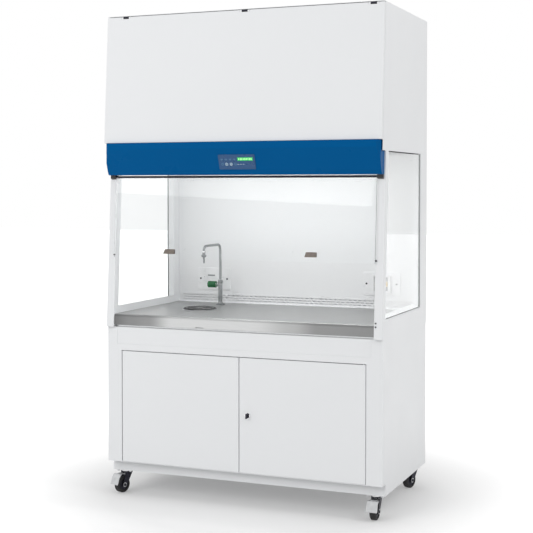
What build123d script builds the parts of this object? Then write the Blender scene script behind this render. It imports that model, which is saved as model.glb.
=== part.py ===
"""Ductless fume hood on a two-door cabinet with four swivel casters, millimetres, +Z up, front towards -Y."""
import math
import os

from build123d import *

os.makedirs("parts", exist_ok=True)

# Overall sizes
overall_width = 1340
hood_depth = 740
fascia_reach = 26
caster_height = 108
base_height = 684
hood_height = 1444
sheet = 2
lean_deg = 3.8

rear = (hood_depth + fascia_reach) / 2
front = rear - hood_depth
base_top = caster_height + base_height
top = base_top + hood_height
half_width = overall_width / 2
lean = math.radians(lean_deg)

# Cabinet
base_inset = 2
base_setback = 12
corner_post_width = 48
toe_recess = 50
toe_height = 52
back_recess = 30
rail_height = 40
rail_depth = 30
apron_height = 79
apron_fold = 18
surround_width = 22
surround_top_height = 30
surround_depth = 25
surround_sill = 3
groove = 1.2
door_thickness = 20
door_gap = 3
door_edge_radius = 4
door_pivot_inset = 10
pivot_pin_radius = 4
pivot_pin_length = 10
running_gap = 0.06

base_front = front + base_setback
base_skin = half_width - base_inset
base_inside = base_skin - sheet
post_inside = base_inside - corner_post_width
cabinet_floor = caster_height + toe_height
toe_front = base_front + toe_recess
back_plane = rear - back_recess
apron_bottom = base_top - apron_height
door_opening_half = post_inside - surround_width
door_opening_top = apron_bottom - surround_top_height
door_bottom = cabinet_floor + surround_sill + 1
door_top = door_opening_top - door_gap
door_width = door_opening_half - 1.5 * door_gap
door_pivot_x = door_opening_half - door_gap - door_pivot_inset
door_pivot_y = base_front + door_thickness / 2

# Door lock
lock_offset = 43
lock_flange_radius = 13.5
lock_flange = 4
lock_barrel_radius = 9.5
lock_spindle_radius = 4
lock_nut_radius = 13
lock_nut = 4
lock_knob_radius = 8.5
lock_knob = 5
lock_wing = (8, 24, 9)
lock_cam = (62, 14, 3)
lock_x = lock_offset
lock_z = (door_bottom + door_top) / 2

# Casters
caster_plate_size = (84, 66)
caster_plate = 3
caster_side_inset = 50
caster_front_inset = 88
caster_rear_inset = 45
wheel_diameter = 75
wheel_width = 30
wheel_side_gap = 1.5
caster_trail = 30
fork_plate = 3
fork_top_half = 24
fork_eye_radius = 13
race_radius = 24
race_height = 6.5
swivel_gap = 0.3
kingpin_radius = 6
axle_radius = 4
pedal_pin_radius = 2.5
pedal_width = 50
pedal_arm_width = 27
pedal_sheet = 2.5
pedal_pivot = (18, 86)

wheel_radius = wheel_diameter / 2
kingpin_x = base_skin - caster_side_inset
front_kingpin_y = base_front + caster_front_inset
rear_kingpin_y = rear - caster_rear_inset
caster_spots = {
    "fl": (-kingpin_x, front_kingpin_y, 250),
    "fr": (kingpin_x, front_kingpin_y, 270),
    "rl": (-kingpin_x, rear_kingpin_y, 250),
    "rr": (kingpin_x, rear_kingpin_y, 250),
}

# Work chamber
post_width = 38
post_depth = 40
worktop_height = 61
lip_height = 52
lip_radius = 12
lip_return = 16
lip_setback = 8
lip_notch = (40, 6)
lip_notch_x = -192
sill_height = 81
sill_rise = 15
column_depth = 115
head_clearance = 808
baffle_depth = 690
baffle_return = 20
baffle_flange = 12
slot_size = (14, 5)
slot_pitch = 25
slot_row_pitch = 12
slot_margin = 19
pane_thickness = 5
pane_outset = 5
pane_fit = 0.3
pane_seat = 5
floor_rail = 40

worktop_top = base_top + worktop_height
lip_bottom = worktop_top - lip_height
lip_front = front + lip_setback
inner_half = half_width - post_width
row_slots = int(2 * (inner_half - slot_margin) / slot_pitch)
sill_outer = base_top + sill_height
sill_inner = sill_outer + sill_rise
column_front = rear - column_depth
head_bottom = base_top + head_clearance
baffle_y = front + baffle_depth

# Cup sink and tap
sink_x = -348
sink_y = front + 341
sink_rim_radius = 81
sink_rim_height = 8
sink_bowl_radius = 68
sink_wall = 3
sink_depth = 92
sink_outlet_radius = 17
sink_outlet_length = 40
grate_ledge = 6
grate_thickness = 4
grate_bars = 8
grate_bar_width = 5
drain_wall = 3
drain_overlap = 25
drain_bend_radius = 50
drain_drop = 12
drain_stub = 26
drain_spigot_radius = 22
drain_spigot_length = 24
tap_y = front + 580
tap_pillar_radius = 10.5
tap_pillar_height = 124
tap_collar_radius = 12.5
tap_flange_radius = 22
tap_shank_length = 70
tap_shank_radius = 10
tap_inlet_radius = 7.5
tap_inlet_length = 20
tap_valve_height = 101
tap_spindle_radius = 4.5
tap_bonnet_radius = 9
tap_bonnet_reach = 17
spout_radius = 6.2
spout_rise = 303
spout_reach = 192
spout_bend = 26
spout_end_height = 268
spout_seat_depth = 30
nozzle_bulb_radius = 13
nozzle_tip_height = 219
knob_radius = 16.5
knob_length = 48
knob_flutes = 8

# Sockets on the rear wall
plate_size = (186, 112)
plate_thickness = 4
plate_corner = 9
plate_height = 182
socket_left_inset = 200
socket_right_inset = 172
outlet_size = (45, 45)
bezel_size = (92, 82)
bezel_reach = 12
plate_screw_spacing = 148
screw_head_radius = 4.5
screw_head = 2

socket_left_x = socket_left_inset - inner_half
socket_right_x = inner_half - socket_right_inset

# Fascia and control panel
fascia_bottom_rise = 706
fascia_height = 147
fascia_end_gap = 7
fascia_bevel = (13, 20)
fascia_wall = 3
fascia_brow = 30
fascia_slope_deg = 18
fascia_slope_drop = 97
fascia_round = 14
panel_size = (177, 69)
panel_corner = 5
panel_plate = 2
panel_center_rise = 763.5
display_size = (75, 16)
display_center = (41, 13)
key_radius = 5.5
key_proud = 1.2
key_flange = 1.5
key_travel = 0.8
key_spots = {"key_fan": (-50, -10), "key_lamp": (-28, -10)}

fascia_half = half_width - fascia_end_gap
fascia_bottom = base_top + fascia_bottom_rise
fascia_top = fascia_bottom + fascia_height
fascia_front = front - fascia_reach
fascia_slope = math.radians(fascia_slope_deg)
panel_center_z = base_top + panel_center_rise
panel_center_y = fascia_front + (fascia_top - fascia_brow - panel_center_z) * math.tan(fascia_slope)

# Sash
sash_axis_drop = 9
sash_axis_out = 8
sash_rail_radius = 5
sash_overlap = 2
sash_length = 374
sash_stop_radius = 4
pivot_block = (26, 14, 20)
pull_width = 48
pull_height = 22
pull_reach = 20
pull_sheet = 2
pull_rise = 21
pull_spread = 344
post_screw_radius = 3.5

sash_half = inner_half + sash_overlap
slope_length = (fascia_bottom - sash_axis_drop - base_top) / math.cos(lean)

# Head
head_proud = 70
head_panel_fold = 18
head_panel_gap = 3
hinge_side_inset = 72
hinge_offset = 24
hinge_length = 46
hinge_center_length = 28
hinge_radius = 4
hinge_pin_radius = 2
hinge_drop = 8
ledge_width = 38
jamb_width = 22
exhaust_slot = (12, 380)
exhaust_pitch = 36
exhaust_slots = 26
deck_height = 848
deck_opening_inset = 100
deck_opening_depth = 480
deck_edge = 20
skirt_gap = 16
prefilter_inset = 85
prefilter_section = (510, 20)
filter_inset = 75
filter_section = (540, 110)
fan_deck_height = 1062
fan_inlet_radius = 140
bell_height = 24
bridge_span = 470
bridge_width = 60
bridge_sheet = 4
bridge_height = 214
wheel_disc_radius = 190
fan_wheel_height = 96
fan_blades = 9
fan_shaft_radius = 10
fan_hub_radius = 32
fan_gap = 12
motor_radius = 70
motor_height = 84
lamp_inset = 120
lamp_section = (60, 30)
inlet_size = (60, 40, 36)
inlet_inset = 150
inlet_drop = 70

hinge_pitch = half_width - hinge_side_inset
deck_opening = (2 * (half_width - deck_opening_inset), deck_opening_depth)
prefilter_size = (2 * (half_width - prefilter_inset), *prefilter_section)
filter_size = (2 * (half_width - filter_inset), *filter_section)
lamp_size = (2 * (half_width - lamp_inset), *lamp_section)
inlet_offset = half_width - inlet_inset
deck_z = base_top + deck_height
fan_deck_z = base_top + fan_deck_height
head_middle_y = (front + rear) / 2 + 20
hinge_axis_z = top - hinge_drop


def slope_y(height, out=0.0):
    """Y of the slanted front plane of the posts, moved outwards by out, at a height."""
    return front + (height - base_top) * math.tan(lean) - out / math.cos(lean)


def side_plane(origin_x):
    """Plane whose sketch axes are the world Y and Z, at one X."""
    return Plane(origin=(origin_x, 0, 0), x_dir=(0, 1, 0), z_dir=(1, 0, 0))


def slope_plane(out=0.0):
    """Plane of the slanted posts: sketch X is the world X and sketch Y runs up the slope."""
    start = (0, front - out * math.cos(lean), base_top + out * math.sin(lean))
    return Plane(origin=start, x_dir=(1, 0, 0), z_dir=(0, -math.cos(lean), math.sin(lean)))


def save(piece, label):
    """Label one finished piece and write it."""
    piece.part.label = label
    export_step(piece.part, f"parts/{label}.step")


hinge_axis_y = slope_y(hinge_axis_z, head_proud) + hinge_radius
sash_axis_z = base_top + slope_length * math.cos(lean) + sash_axis_out * math.sin(lean)
sash_axis_y = front + slope_length * math.sin(lean) - sash_axis_out * math.cos(lean)


# Cabinet frame: two wide front posts, two rear posts and a ring of channels under the hood
def rail_cavity(center_x, center_y, size_x, size_y):
    with Locations((center_x, center_y, base_top - rail_height)):
        Box(size_x, size_y, rail_height - sheet, align=(Align.CENTER, Align.CENTER, Align.MIN), mode=Mode.SUBTRACT)


post_height = base_top - cabinet_floor
rear_post_y = back_plane - sheet - rail_depth / 2
front_rail_y = base_front + toe_recess - rail_depth / 2
side_rail_front = base_front + toe_recess
side_rail_rear = back_plane - sheet - rail_depth
side_rail_x = base_inside - rail_depth / 2
with BuildPart() as base_frame:
    for side in (-1, 1):
        with BuildSketch(Plane.XY.offset(cabinet_floor)):
            with Locations((side * (post_inside + corner_post_width / 2), base_front + toe_recess / 2)):
                Rectangle(corner_post_width, toe_recess)
                Rectangle(corner_post_width - 2 * sheet, toe_recess - 2 * sheet, mode=Mode.SUBTRACT)
            with Locations((side * side_rail_x, rear_post_y)):
                Rectangle(rail_depth, rail_depth)
                Rectangle(rail_depth - 2 * sheet, rail_depth - 2 * sheet, mode=Mode.SUBTRACT)
        extrude(amount=post_height)
        side_length = side_rail_rear - side_rail_front
        side_y = (side_rail_rear + side_rail_front) / 2
        with Locations((side * side_rail_x, side_y, base_top - rail_height)):
            Box(rail_depth, side_length, rail_height, align=(Align.CENTER, Align.CENTER, Align.MIN))
        rail_cavity(side * side_rail_x, side_y, rail_depth - 2 * sheet, side_length)
    for rail_y, rail_half in ((front_rail_y, post_inside), (rear_post_y, base_inside - rail_depth)):
        with Locations((0, rail_y, base_top - rail_height)):
            Box(2 * rail_half, rail_depth, rail_height, align=(Align.CENTER, Align.CENTER, Align.MIN))
        rail_cavity(0, rail_y, 2 * rail_half, rail_depth - 2 * sheet)
save(base_frame, "base_frame")

# Chassis: folded pan whose front wall is the plinth, with four caster seats welded inside
chassis_front = toe_front
chassis_rear = back_plane - sheet
chassis_depth = chassis_rear - chassis_front
chassis_y = (chassis_front + chassis_rear) / 2
caster_seat = 4
with BuildPart() as chassis:
    with Locations((0, chassis_y, caster_height)):
        Box(2 * base_inside, chassis_depth, toe_height, align=(Align.CENTER, Align.CENTER, Align.MIN))
        Box(2 * (base_inside - sheet), chassis_depth - 2 * sheet, toe_height - sheet,
            align=(Align.CENTER, Align.CENTER, Align.MIN), mode=Mode.SUBTRACT)
    seat_width = base_inside - kingpin_x + caster_plate_size[0] / 2 + 8
    for side in (-1, 1):
        with Locations((side * (base_inside - seat_width / 2), chassis_y, caster_height)):
            Box(seat_width, chassis_depth, caster_seat, align=(Align.CENTER, Align.CENTER, Align.MIN))
save(chassis, "chassis")

# Cabinet side skins: flat sheets notched at the toe, folded in at the rear edge
rear_fold = 20
for label, side in (("base_side_left", -1), ("base_side_right", 1)):
    with BuildPart() as base_side:
        with BuildSketch(side_plane(side * base_inside)):
            with BuildLine():
                Polyline((base_front, cabinet_floor), (base_front, base_top), (rear, base_top),
                         (rear, caster_height), (toe_front, caster_height), (toe_front, cabinet_floor), close=True)
            make_face()
        extrude(amount=side * sheet)
        with Locations((side * (base_inside - rear_fold / 2), rear - sheet / 2, (caster_height + base_top) / 2)):
            Box(rear_fold, sheet, base_height)
    save(base_side, label)

# Recessed back panel with the holes for the drain and for the water hose
drain_z = worktop_top + sink_rim_height - sink_depth - sink_outlet_length - drain_drop - drain_bend_radius
drain_radius = sink_outlet_radius + sink_wall + drain_wall
hose_hole_radius = 12
hose_hole_x = sink_x + 120
with BuildPart() as base_back:
    with Locations((0, back_plane - sheet / 2, (caster_height + base_top) / 2)):
        Box(2 * base_inside, sheet, base_height)
    with Locations(Plane(origin=(0, back_plane, drain_z), x_dir=(1, 0, 0), z_dir=(0, -1, 0))):
        with Locations((sink_x, 0)):
            Hole(drain_radius + 1, depth=2 * sheet)
        with Locations((hose_hole_x, 0)):
            Hole(hose_hole_radius, depth=2 * sheet)
save(base_back, "base_back")

# Apron: folded strip between the corner posts
with BuildPart() as apron_panel:
    with BuildSketch(side_plane(-post_inside)):
        with Locations((base_front + apron_fold / 2, (apron_bottom + base_top) / 2)):
            Rectangle(apron_fold, apron_height)
        with Locations((base_front + sheet + apron_fold / 2, (apron_bottom + base_top) / 2)):
            Rectangle(apron_fold, apron_height - 2 * sheet, mode=Mode.SUBTRACT)
    extrude(amount=2 * post_inside)
    chamfer(apron_panel.edges().group_by(Axis.Y)[0], length=groove)
save(apron_panel, "apron_panel")

# Door surround: one frame between the posts, with the four pivot pins of the doors
surround_height = apron_bottom - cabinet_floor
with BuildPart() as door_surround:
    with BuildSketch(Plane(origin=(0, base_front, cabinet_floor), x_dir=(1, 0, 0), z_dir=(0, -1, 0))):
        with Locations((0, surround_height / 2)):
            Rectangle(2 * post_inside, surround_height)
        with Locations((0, surround_sill)):
            Rectangle(2 * door_opening_half, door_opening_top - cabinet_floor - surround_sill,
                      align=(Align.CENTER, Align.MIN), mode=Mode.SUBTRACT)
    extrude(amount=-surround_depth)
    outer_edges = door_surround.edges().group_by(Axis.Y)[0].sort_by(SortBy.LENGTH)[-4:]
    chamfer(outer_edges, length=groove)
    with Locations(*[(side * door_pivot_x, door_pivot_y, cabinet_floor + surround_sill) for side in (-1, 1)]):
        Cylinder(pivot_pin_radius, pivot_pin_length, align=(Align.CENTER, Align.CENTER, Align.MIN))
    with Locations(*[(side * door_pivot_x, door_pivot_y, door_opening_top) for side in (-1, 1)]):
        Cylinder(pivot_pin_radius, pivot_pin_length + door_gap, align=(Align.CENTER, Align.CENTER, Align.MAX))
save(door_surround, "door_surround")

# Doors: double-skinned leaves that turn on pins in their top and bottom edges
door_height = door_top - door_bottom
for label, side in (("door_left", -1), ("door_right", 1)):
    leaf_x = side * (door_gap / 2 + door_width / 2)
    with BuildPart() as door:
        with Locations((leaf_x, door_pivot_y, (door_bottom + door_top) / 2)):
            Box(door_width, door_thickness, door_height)
        fillet(door.edges().filter_by(Axis.Z), radius=door_edge_radius)
        bore_radius = pivot_pin_radius + running_gap
        with Locations((side * door_pivot_x, door_pivot_y, door_bottom)):
            Cylinder(bore_radius, pivot_pin_length + 1, align=(Align.CENTER, Align.CENTER, Align.MIN),
                     mode=Mode.SUBTRACT)
        with Locations((side * door_pivot_x, door_pivot_y, door_top)):
            Cylinder(bore_radius, pivot_pin_length + 1, align=(Align.CENTER, Align.CENTER, Align.MAX),
                     mode=Mode.SUBTRACT)
        if side > 0:
            with Locations(Plane(origin=(lock_x, base_front, lock_z), x_dir=(1, 0, 0), z_dir=(0, -1, 0))):
                Hole(lock_barrel_radius + running_gap, depth=2 * door_thickness)
    save(door, label)

# Lock barrel: flange in front, body through the door, nut behind
lock_plane = Plane(origin=(lock_x, base_front, lock_z), x_dir=(1, 0, 0), z_dir=(0, -1, 0))
with BuildPart() as lock_barrel:
    with BuildSketch(lock_plane):
        Circle(lock_flange_radius)
    extrude(amount=lock_flange)
    fillet(lock_barrel.edges().group_by(Axis.Y)[0], radius=1.2)
    with BuildSketch(lock_plane):
        Circle(lock_barrel_radius)
    extrude(amount=-(door_thickness + lock_nut))
    with BuildSketch(lock_plane.offset(-door_thickness)):
        RegularPolygon(lock_nut_radius, 6)
    extrude(amount=-lock_nut)
    with BuildSketch(lock_plane.offset(lock_flange)):
        Circle(lock_spindle_radius + running_gap)
    extrude(amount=-(lock_flange + door_thickness + lock_nut), mode=Mode.SUBTRACT)
save(lock_barrel, "lock_barrel")

# Lock knob: thumb turn, spindle and cam in one piece
with BuildPart() as lock_turn:
    with BuildSketch(lock_plane.offset(lock_flange + swivel_gap)):
        Circle(lock_knob_radius)
    extrude(amount=lock_knob)
    fillet(lock_turn.edges().group_by(Axis.Y)[0], radius=1)
    with BuildSketch(lock_plane.offset(lock_flange + swivel_gap + lock_knob)):
        SlotOverall(lock_wing[1], lock_wing[0], rotation=90)
    extrude(amount=lock_wing[2])
    with BuildSketch(lock_plane.offset(lock_flange + swivel_gap)):
        Circle(lock_spindle_radius)
    extrude(amount=-(lock_flange + 2 * swivel_gap + door_thickness + lock_nut + lock_cam[2]))
    with BuildSketch(lock_plane.offset(-(door_thickness + lock_nut + swivel_gap))):
        with Locations((0, -lock_cam[0] / 2 + lock_cam[1] / 2)):
            SlotOverall(lock_cam[0], lock_cam[1], rotation=90)
    extrude(amount=-lock_cam[2])
save(lock_turn, "lock_knob")

# Casters: plates with kingpins, forks with axles, wheels and the two brake pedals
race_bottom = caster_height - caster_plate - race_height
fork_top = race_bottom - swivel_gap
fork_inner = wheel_width / 2 + wheel_side_gap
axle_z = wheel_radius
with BuildPart() as caster_plates:
    for spot_x, spot_y, _ in caster_spots.values():
        with BuildSketch(Plane(origin=(spot_x, spot_y, caster_height - caster_plate))):
            RectangleRounded(caster_plate_size[0], caster_plate_size[1], 6)
            with GridLocations(64, 46, 2, 2):
                SlotOverall(13, 8.5, mode=Mode.SUBTRACT)
        extrude(amount=caster_plate)
        with BuildSketch(Plane(origin=(spot_x, spot_y, race_bottom))):
            Circle(race_radius)
        extrude(amount=race_height, taper=-8)
        with BuildSketch(Plane(origin=(spot_x, spot_y, race_bottom))):
            Circle(kingpin_radius)
        extrude(amount=-(2 * swivel_gap + fork_plate))
        with BuildSketch(Plane(origin=(spot_x, spot_y, fork_top - fork_plate - swivel_gap))):
            Circle(kingpin_radius + 4)
        extrude(amount=-5)
save(caster_plates, "caster_plates")


def caster_side_plane(spot_x, spot_y, heading, out):
    """Upright plane through a kingpin: sketch X runs along the trail, moved out along the axle."""
    along = (math.cos(math.radians(heading)), math.sin(math.radians(heading)), 0)
    across = (along[1], -along[0], 0)
    return Plane(origin=(spot_x + across[0] * out, spot_y + across[1] * out, 0), x_dir=along, z_dir=across)


for name, (spot_x, spot_y, heading) in caster_spots.items():
    flat = Plane(origin=(spot_x, spot_y, fork_top), x_dir=(math.cos(math.radians(heading)),
                                                           math.sin(math.radians(heading)), 0))
    leg_outer = fork_inner + fork_plate
    with BuildPart() as fork:
        with BuildSketch(flat):
            RectangleRounded(2 * fork_top_half, 2 * leg_outer, 5)
            Circle(kingpin_radius + running_gap, mode=Mode.SUBTRACT)
        extrude(amount=-fork_plate)
        for out in (fork_inner, -leg_outer):
            with BuildSketch(caster_side_plane(spot_x, spot_y, heading, out)):
                with Locations((0, fork_top - fork_plate - 1)):
                    Rectangle(2 * fork_top_half - 10, 2)
                with Locations((caster_trail, axle_z)):
                    Circle(fork_eye_radius)
                make_hull()
            extrude(amount=fork_plate)
        with BuildSketch(caster_side_plane(spot_x, spot_y, heading, -leg_outer - 3)):
            with Locations((caster_trail, axle_z)):
                Circle(axle_radius)
        extrude(amount=2 * leg_outer + 6)
        for out in (-leg_outer - 4, leg_outer):
            with BuildSketch(caster_side_plane(spot_x, spot_y, heading, out)):
                with Locations((caster_trail, axle_z)):
                    RegularPolygon(7, 6)
            extrude(amount=4)
        if name in ("fl", "fr"):
            with BuildSketch(caster_side_plane(spot_x, spot_y, heading, -leg_outer)):
                with Locations(pedal_pivot):
                    Circle(pedal_pin_radius)
            extrude(amount=2 * leg_outer)
    save(fork, f"caster_fork_{name}")

    with BuildPart() as wheel:
        with BuildSketch(caster_side_plane(spot_x, spot_y, heading, 0)):
            with Locations((caster_trail, axle_z)):
                Circle(wheel_radius)
        extrude(amount=wheel_width / 2, both=True)
        chamfer(wheel.edges().filter_by(GeomType.CIRCLE), length=4, length2=6)
        for out, turn in ((wheel_width / 2, -1), (-wheel_width / 2, 1)):
            with BuildSketch(caster_side_plane(spot_x, spot_y, heading, out)):
                with Locations((caster_trail, axle_z)):
                    Circle(wheel_radius - 11)
                    Circle(12, mode=Mode.SUBTRACT)
            extrude(amount=turn * 4, mode=Mode.SUBTRACT)
        with BuildSketch(caster_side_plane(spot_x, spot_y, heading, -wheel_width / 2)):
            with Locations((caster_trail, axle_z)):
                Circle(axle_radius + running_gap)
        extrude(amount=wheel_width, mode=Mode.SUBTRACT)
    save(wheel, f"wheel_{name}")

    if name in ("fl", "fr"):
        pivot_x, pivot_z = pedal_pivot
        with BuildPart() as pedal:
            for width, path in ((pedal_arm_width, ((pivot_x, pivot_z + 4), (57, pivot_z + 4))),
                                (pedal_width, ((54, pivot_z + 4), (60, pivot_z + 2), (70, pivot_z - 12),
                                               (77, pivot_z - 36), (82, pivot_z - 42)))):
                with BuildSketch(caster_side_plane(spot_x, spot_y, heading, -width / 2)):
                    with BuildLine() as strip:
                        if len(path) > 2:
                            FilletPolyline(*path, radius=5)
                        else:
                            Polyline(*path)
                    trace(line_width=pedal_sheet)
                extrude(amount=width)
            with BuildSketch(caster_side_plane(spot_x, spot_y, heading, -pedal_arm_width / 2)):
                with Locations(pedal_pivot):
                    Circle(pedal_pin_radius + 3)
            extrude(amount=pedal_arm_width)
            with BuildSketch(caster_side_plane(spot_x, spot_y, heading, -pedal_arm_width / 2)):
                with Locations(pedal_pivot):
                    Circle(pedal_pin_radius + running_gap)
            extrude(amount=pedal_arm_width, mode=Mode.SUBTRACT)
        save(pedal, f"brake_pedal_{name}")

# Floor frame of the hood: one ring of open channels that carries the worktop
floor_front = lip_front + lip_return + 2
floor_rear = baffle_y
floor_height = worktop_top - sheet - base_top
floor_y = (floor_front + floor_rear) / 2
with BuildPart() as hood_floor_frame:
    with BuildSketch(Plane.XY.offset(base_top)):
        with Locations((0, floor_y)):
            Rectangle(2 * inner_half, floor_rear - floor_front)
            Rectangle(2 * (inner_half - floor_rail), floor_rear - floor_front - 2 * floor_rail, mode=Mode.SUBTRACT)
    extrude(amount=floor_height)
    with BuildSketch(Plane.XY.offset(base_top)):
        with Locations((0, floor_y)):
            Rectangle(2 * (inner_half - sheet), floor_rear - floor_front - 2 * sheet)
            Rectangle(2 * (inner_half - floor_rail + sheet), floor_rear - floor_front - 2 * (floor_rail - sheet),
                      mode=Mode.SUBTRACT)
    extrude(amount=floor_height - sheet, mode=Mode.SUBTRACT)
save(hood_floor_frame, "hood_floor_frame")

# Worktop: one bent sheet with a rounded front lip, pierced for the cup sink and the tap
with BuildPart() as worktop:
    with BuildSketch(side_plane(-inner_half)) as worktop_section:
        with BuildLine():
            sheet_line = FilletPolyline((lip_front + lip_return, lip_bottom), (lip_front, lip_bottom),
                                        (lip_front, worktop_top), (baffle_y + sheet, worktop_top),
                                        radius=(2.5, lip_radius))
            offset(sheet_line, amount=sheet, side=Side.RIGHT, closed=True)
        make_face()
    extrude(amount=2 * inner_half)
    with BuildSketch(Plane.XY.offset(worktop_top)):
        with Locations((sink_x, sink_y)):
            Circle(sink_bowl_radius + sink_wall + 1)
        with Locations((sink_x, tap_y)):
            Circle(tap_shank_radius + 0.5)
    extrude(amount=-3 * sheet, mode=Mode.SUBTRACT)
    with Locations((lip_notch_x, lip_front, lip_bottom)):
        Box(lip_notch[0], 6 * sheet, 2 * lip_notch[1], mode=Mode.SUBTRACT)
save(worktop, "worktop")

# Cup sink: turned bowl with a raised round rim, a ledge for the grate and an outlet
rim_top = worktop_top + sink_rim_height
bowl_bottom = rim_top - sink_depth
ledge_z = rim_top - grate_ledge
with BuildPart() as sink_cup:
    with BuildSketch(Plane.XZ.offset(-sink_y)):
        with BuildLine():
            Polyline((sink_x + sink_bowl_radius, ledge_z), (sink_x + sink_bowl_radius, rim_top - 2),
                     (sink_x + sink_bowl_radius + 2, rim_top), (sink_x + sink_rim_radius - 5, rim_top),
                     (sink_x + sink_rim_radius, rim_top - 5), (sink_x + sink_rim_radius, worktop_top),
                     (sink_x + sink_bowl_radius + sink_wall, worktop_top),
                     (sink_x + sink_bowl_radius + sink_wall, bowl_bottom + 22),
                     (sink_x + sink_bowl_radius - 8, bowl_bottom - sink_wall),
                     (sink_x + sink_outlet_radius + sink_wall, bowl_bottom - sink_wall - 4),
                     (sink_x + sink_outlet_radius + sink_wall, bowl_bottom - sink_outlet_length),
                     (sink_x + sink_outlet_radius, bowl_bottom - sink_outlet_length),
                     (sink_x + sink_outlet_radius, bowl_bottom - 4),
                     (sink_x + sink_bowl_radius - 11, bowl_bottom),
                     (sink_x + sink_bowl_radius - sink_wall, bowl_bottom + 22),
                     (sink_x + sink_bowl_radius - sink_wall, ledge_z), close=True)
        make_face()
    revolve(axis=Axis((sink_x, sink_y, 0), (0, 0, 1)))
save(sink_cup, "sink_cup")

# Sink grate: a ring with radial bars that lies on the ledge
grate_radius = sink_bowl_radius - 0.5
with BuildPart() as sink_grate:
    with BuildSketch(Plane(origin=(sink_x, sink_y, ledge_z))):
        Circle(grate_radius)
        Circle(grate_radius - 5, mode=Mode.SUBTRACT)
        Circle(11)
        with PolarLocations(grate_radius / 2 - 1, grate_bars):
            Rectangle(grate_radius - 6, grate_bar_width)
    extrude(amount=grate_thickness)
save(sink_grate, "sink_grate")

# Drain pipe: slips over the sink outlet, bends back and ends in a spigot behind the recessed back panel
outlet_end = bowl_bottom - sink_outlet_length
with BuildPart() as drain_pipe:
    with BuildLine(Plane(origin=(sink_x, 0, 0), x_dir=(0, 1, 0), z_dir=(1, 0, 0))) as drain_line:
        FilletPolyline((sink_y, outlet_end + drain_overlap), (sink_y, drain_z),
                       (back_plane + drain_stub, drain_z), radius=drain_bend_radius)
    with BuildSketch(Plane(origin=(sink_x, sink_y, outlet_end + drain_overlap), z_dir=(0, 0, -1))):
        Circle(drain_radius)
        Circle(drain_radius - drain_wall, mode=Mode.SUBTRACT)
    sweep(path=drain_line.wire())
    with BuildSketch(Plane.XZ.offset(-(back_plane + drain_stub))):
        with Locations((sink_x, drain_z)):
            Circle(drain_radius + 1)
            Circle(drain_spigot_radius, mode=Mode.SUBTRACT)
    extrude(amount=drain_spigot_length, mode=Mode.SUBTRACT)
save(drain_pipe, "drain_pipe")

# Tap body: turned pillar with a foot flange, a shank under the worktop and a side valve seat
pillar_top = worktop_top + tap_pillar_height
valve_z = worktop_top + tap_valve_height
with BuildPart() as tap_body:
    with BuildSketch(Plane.XZ.offset(-tap_y)):
        with BuildLine():
            Polyline((sink_x, worktop_top - tap_shank_length - tap_inlet_length),
                     (sink_x + tap_inlet_radius, worktop_top - tap_shank_length - tap_inlet_length),
                     (sink_x + tap_inlet_radius, worktop_top - tap_shank_length),
                     (sink_x + tap_shank_radius, worktop_top - tap_shank_length),
                     (sink_x + tap_shank_radius, worktop_top),
                     (sink_x + tap_flange_radius, worktop_top),
                     (sink_x + tap_flange_radius, worktop_top + 3),
                     (sink_x + tap_pillar_radius + 2, worktop_top + 9),
                     (sink_x + tap_pillar_radius, worktop_top + 12),
                     (sink_x + tap_pillar_radius, pillar_top - 18),
                     (sink_x + tap_collar_radius, pillar_top - 12),
                     (sink_x + tap_collar_radius, pillar_top - 3),
                     (sink_x + tap_collar_radius - 3, pillar_top),
                     (sink_x, pillar_top), close=True)
        make_face()
    revolve(axis=Axis((sink_x, tap_y, 0), (0, 0, 1)))
    with BuildSketch(side_plane(sink_x)):
        with Locations((tap_y, valve_z)):
            Circle(tap_bonnet_radius)
    extrude(amount=-tap_bonnet_reach)
    with BuildSketch(side_plane(sink_x - tap_bonnet_reach)):
        with Locations((tap_y, valve_z)):
            Circle(tap_spindle_radius)
    extrude(amount=-10)
    with BuildSketch(Plane(origin=(sink_x, tap_y, pillar_top))):
        Circle(spout_radius + running_gap)
    extrude(amount=-spout_seat_depth - 0.3, mode=Mode.SUBTRACT)
save(tap_body, "tap_body")

# Tap spout: bent tube seated in the pillar, with the bulb and the serrated hose nozzle at its end
spout_start = pillar_top - spout_seat_depth
spout_line_top = worktop_top + spout_rise
spout_end = worktop_top + spout_end_height
nozzle_y = tap_y - spout_reach
nozzle_tip = worktop_top + nozzle_tip_height
with BuildPart() as tap_spout:
    with BuildLine(Plane(origin=(sink_x, 0, 0), x_dir=(0, 1, 0), z_dir=(1, 0, 0))) as spout_line:
        FilletPolyline((tap_y, spout_start), (tap_y, spout_line_top), (nozzle_y, spout_line_top),
                       (nozzle_y, spout_end), radius=spout_bend)
    with BuildSketch(Plane(origin=(sink_x, tap_y, spout_start))):
        Circle(spout_radius)
    sweep(path=spout_line.wire())
    with BuildSketch(Plane.XZ.offset(-nozzle_y)):
        with BuildLine():
            Polyline((sink_x, spout_end + 6), (sink_x + 7.5, spout_end + 6), (sink_x + 7.5, spout_end - 6),
                     (sink_x + nozzle_bulb_radius, spout_end - 10), (sink_x + nozzle_bulb_radius, spout_end - 14),
                     (sink_x + 6, spout_end - 20), (sink_x + 3.6, spout_end - 22),
                     (sink_x + 5.2, spout_end - 25), (sink_x + 3.6, spout_end - 31),
                     (sink_x + 5, spout_end - 32), (sink_x + 3.4, spout_end - 38),
                     (sink_x + 4.6, spout_end - 39), (sink_x + 3, nozzle_tip),
                     (sink_x, nozzle_tip), close=True)
        make_face()
    revolve(axis=Axis((sink_x, nozzle_y, 0), (0, 0, 1)))
save(tap_spout, "tap_spout")

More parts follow.
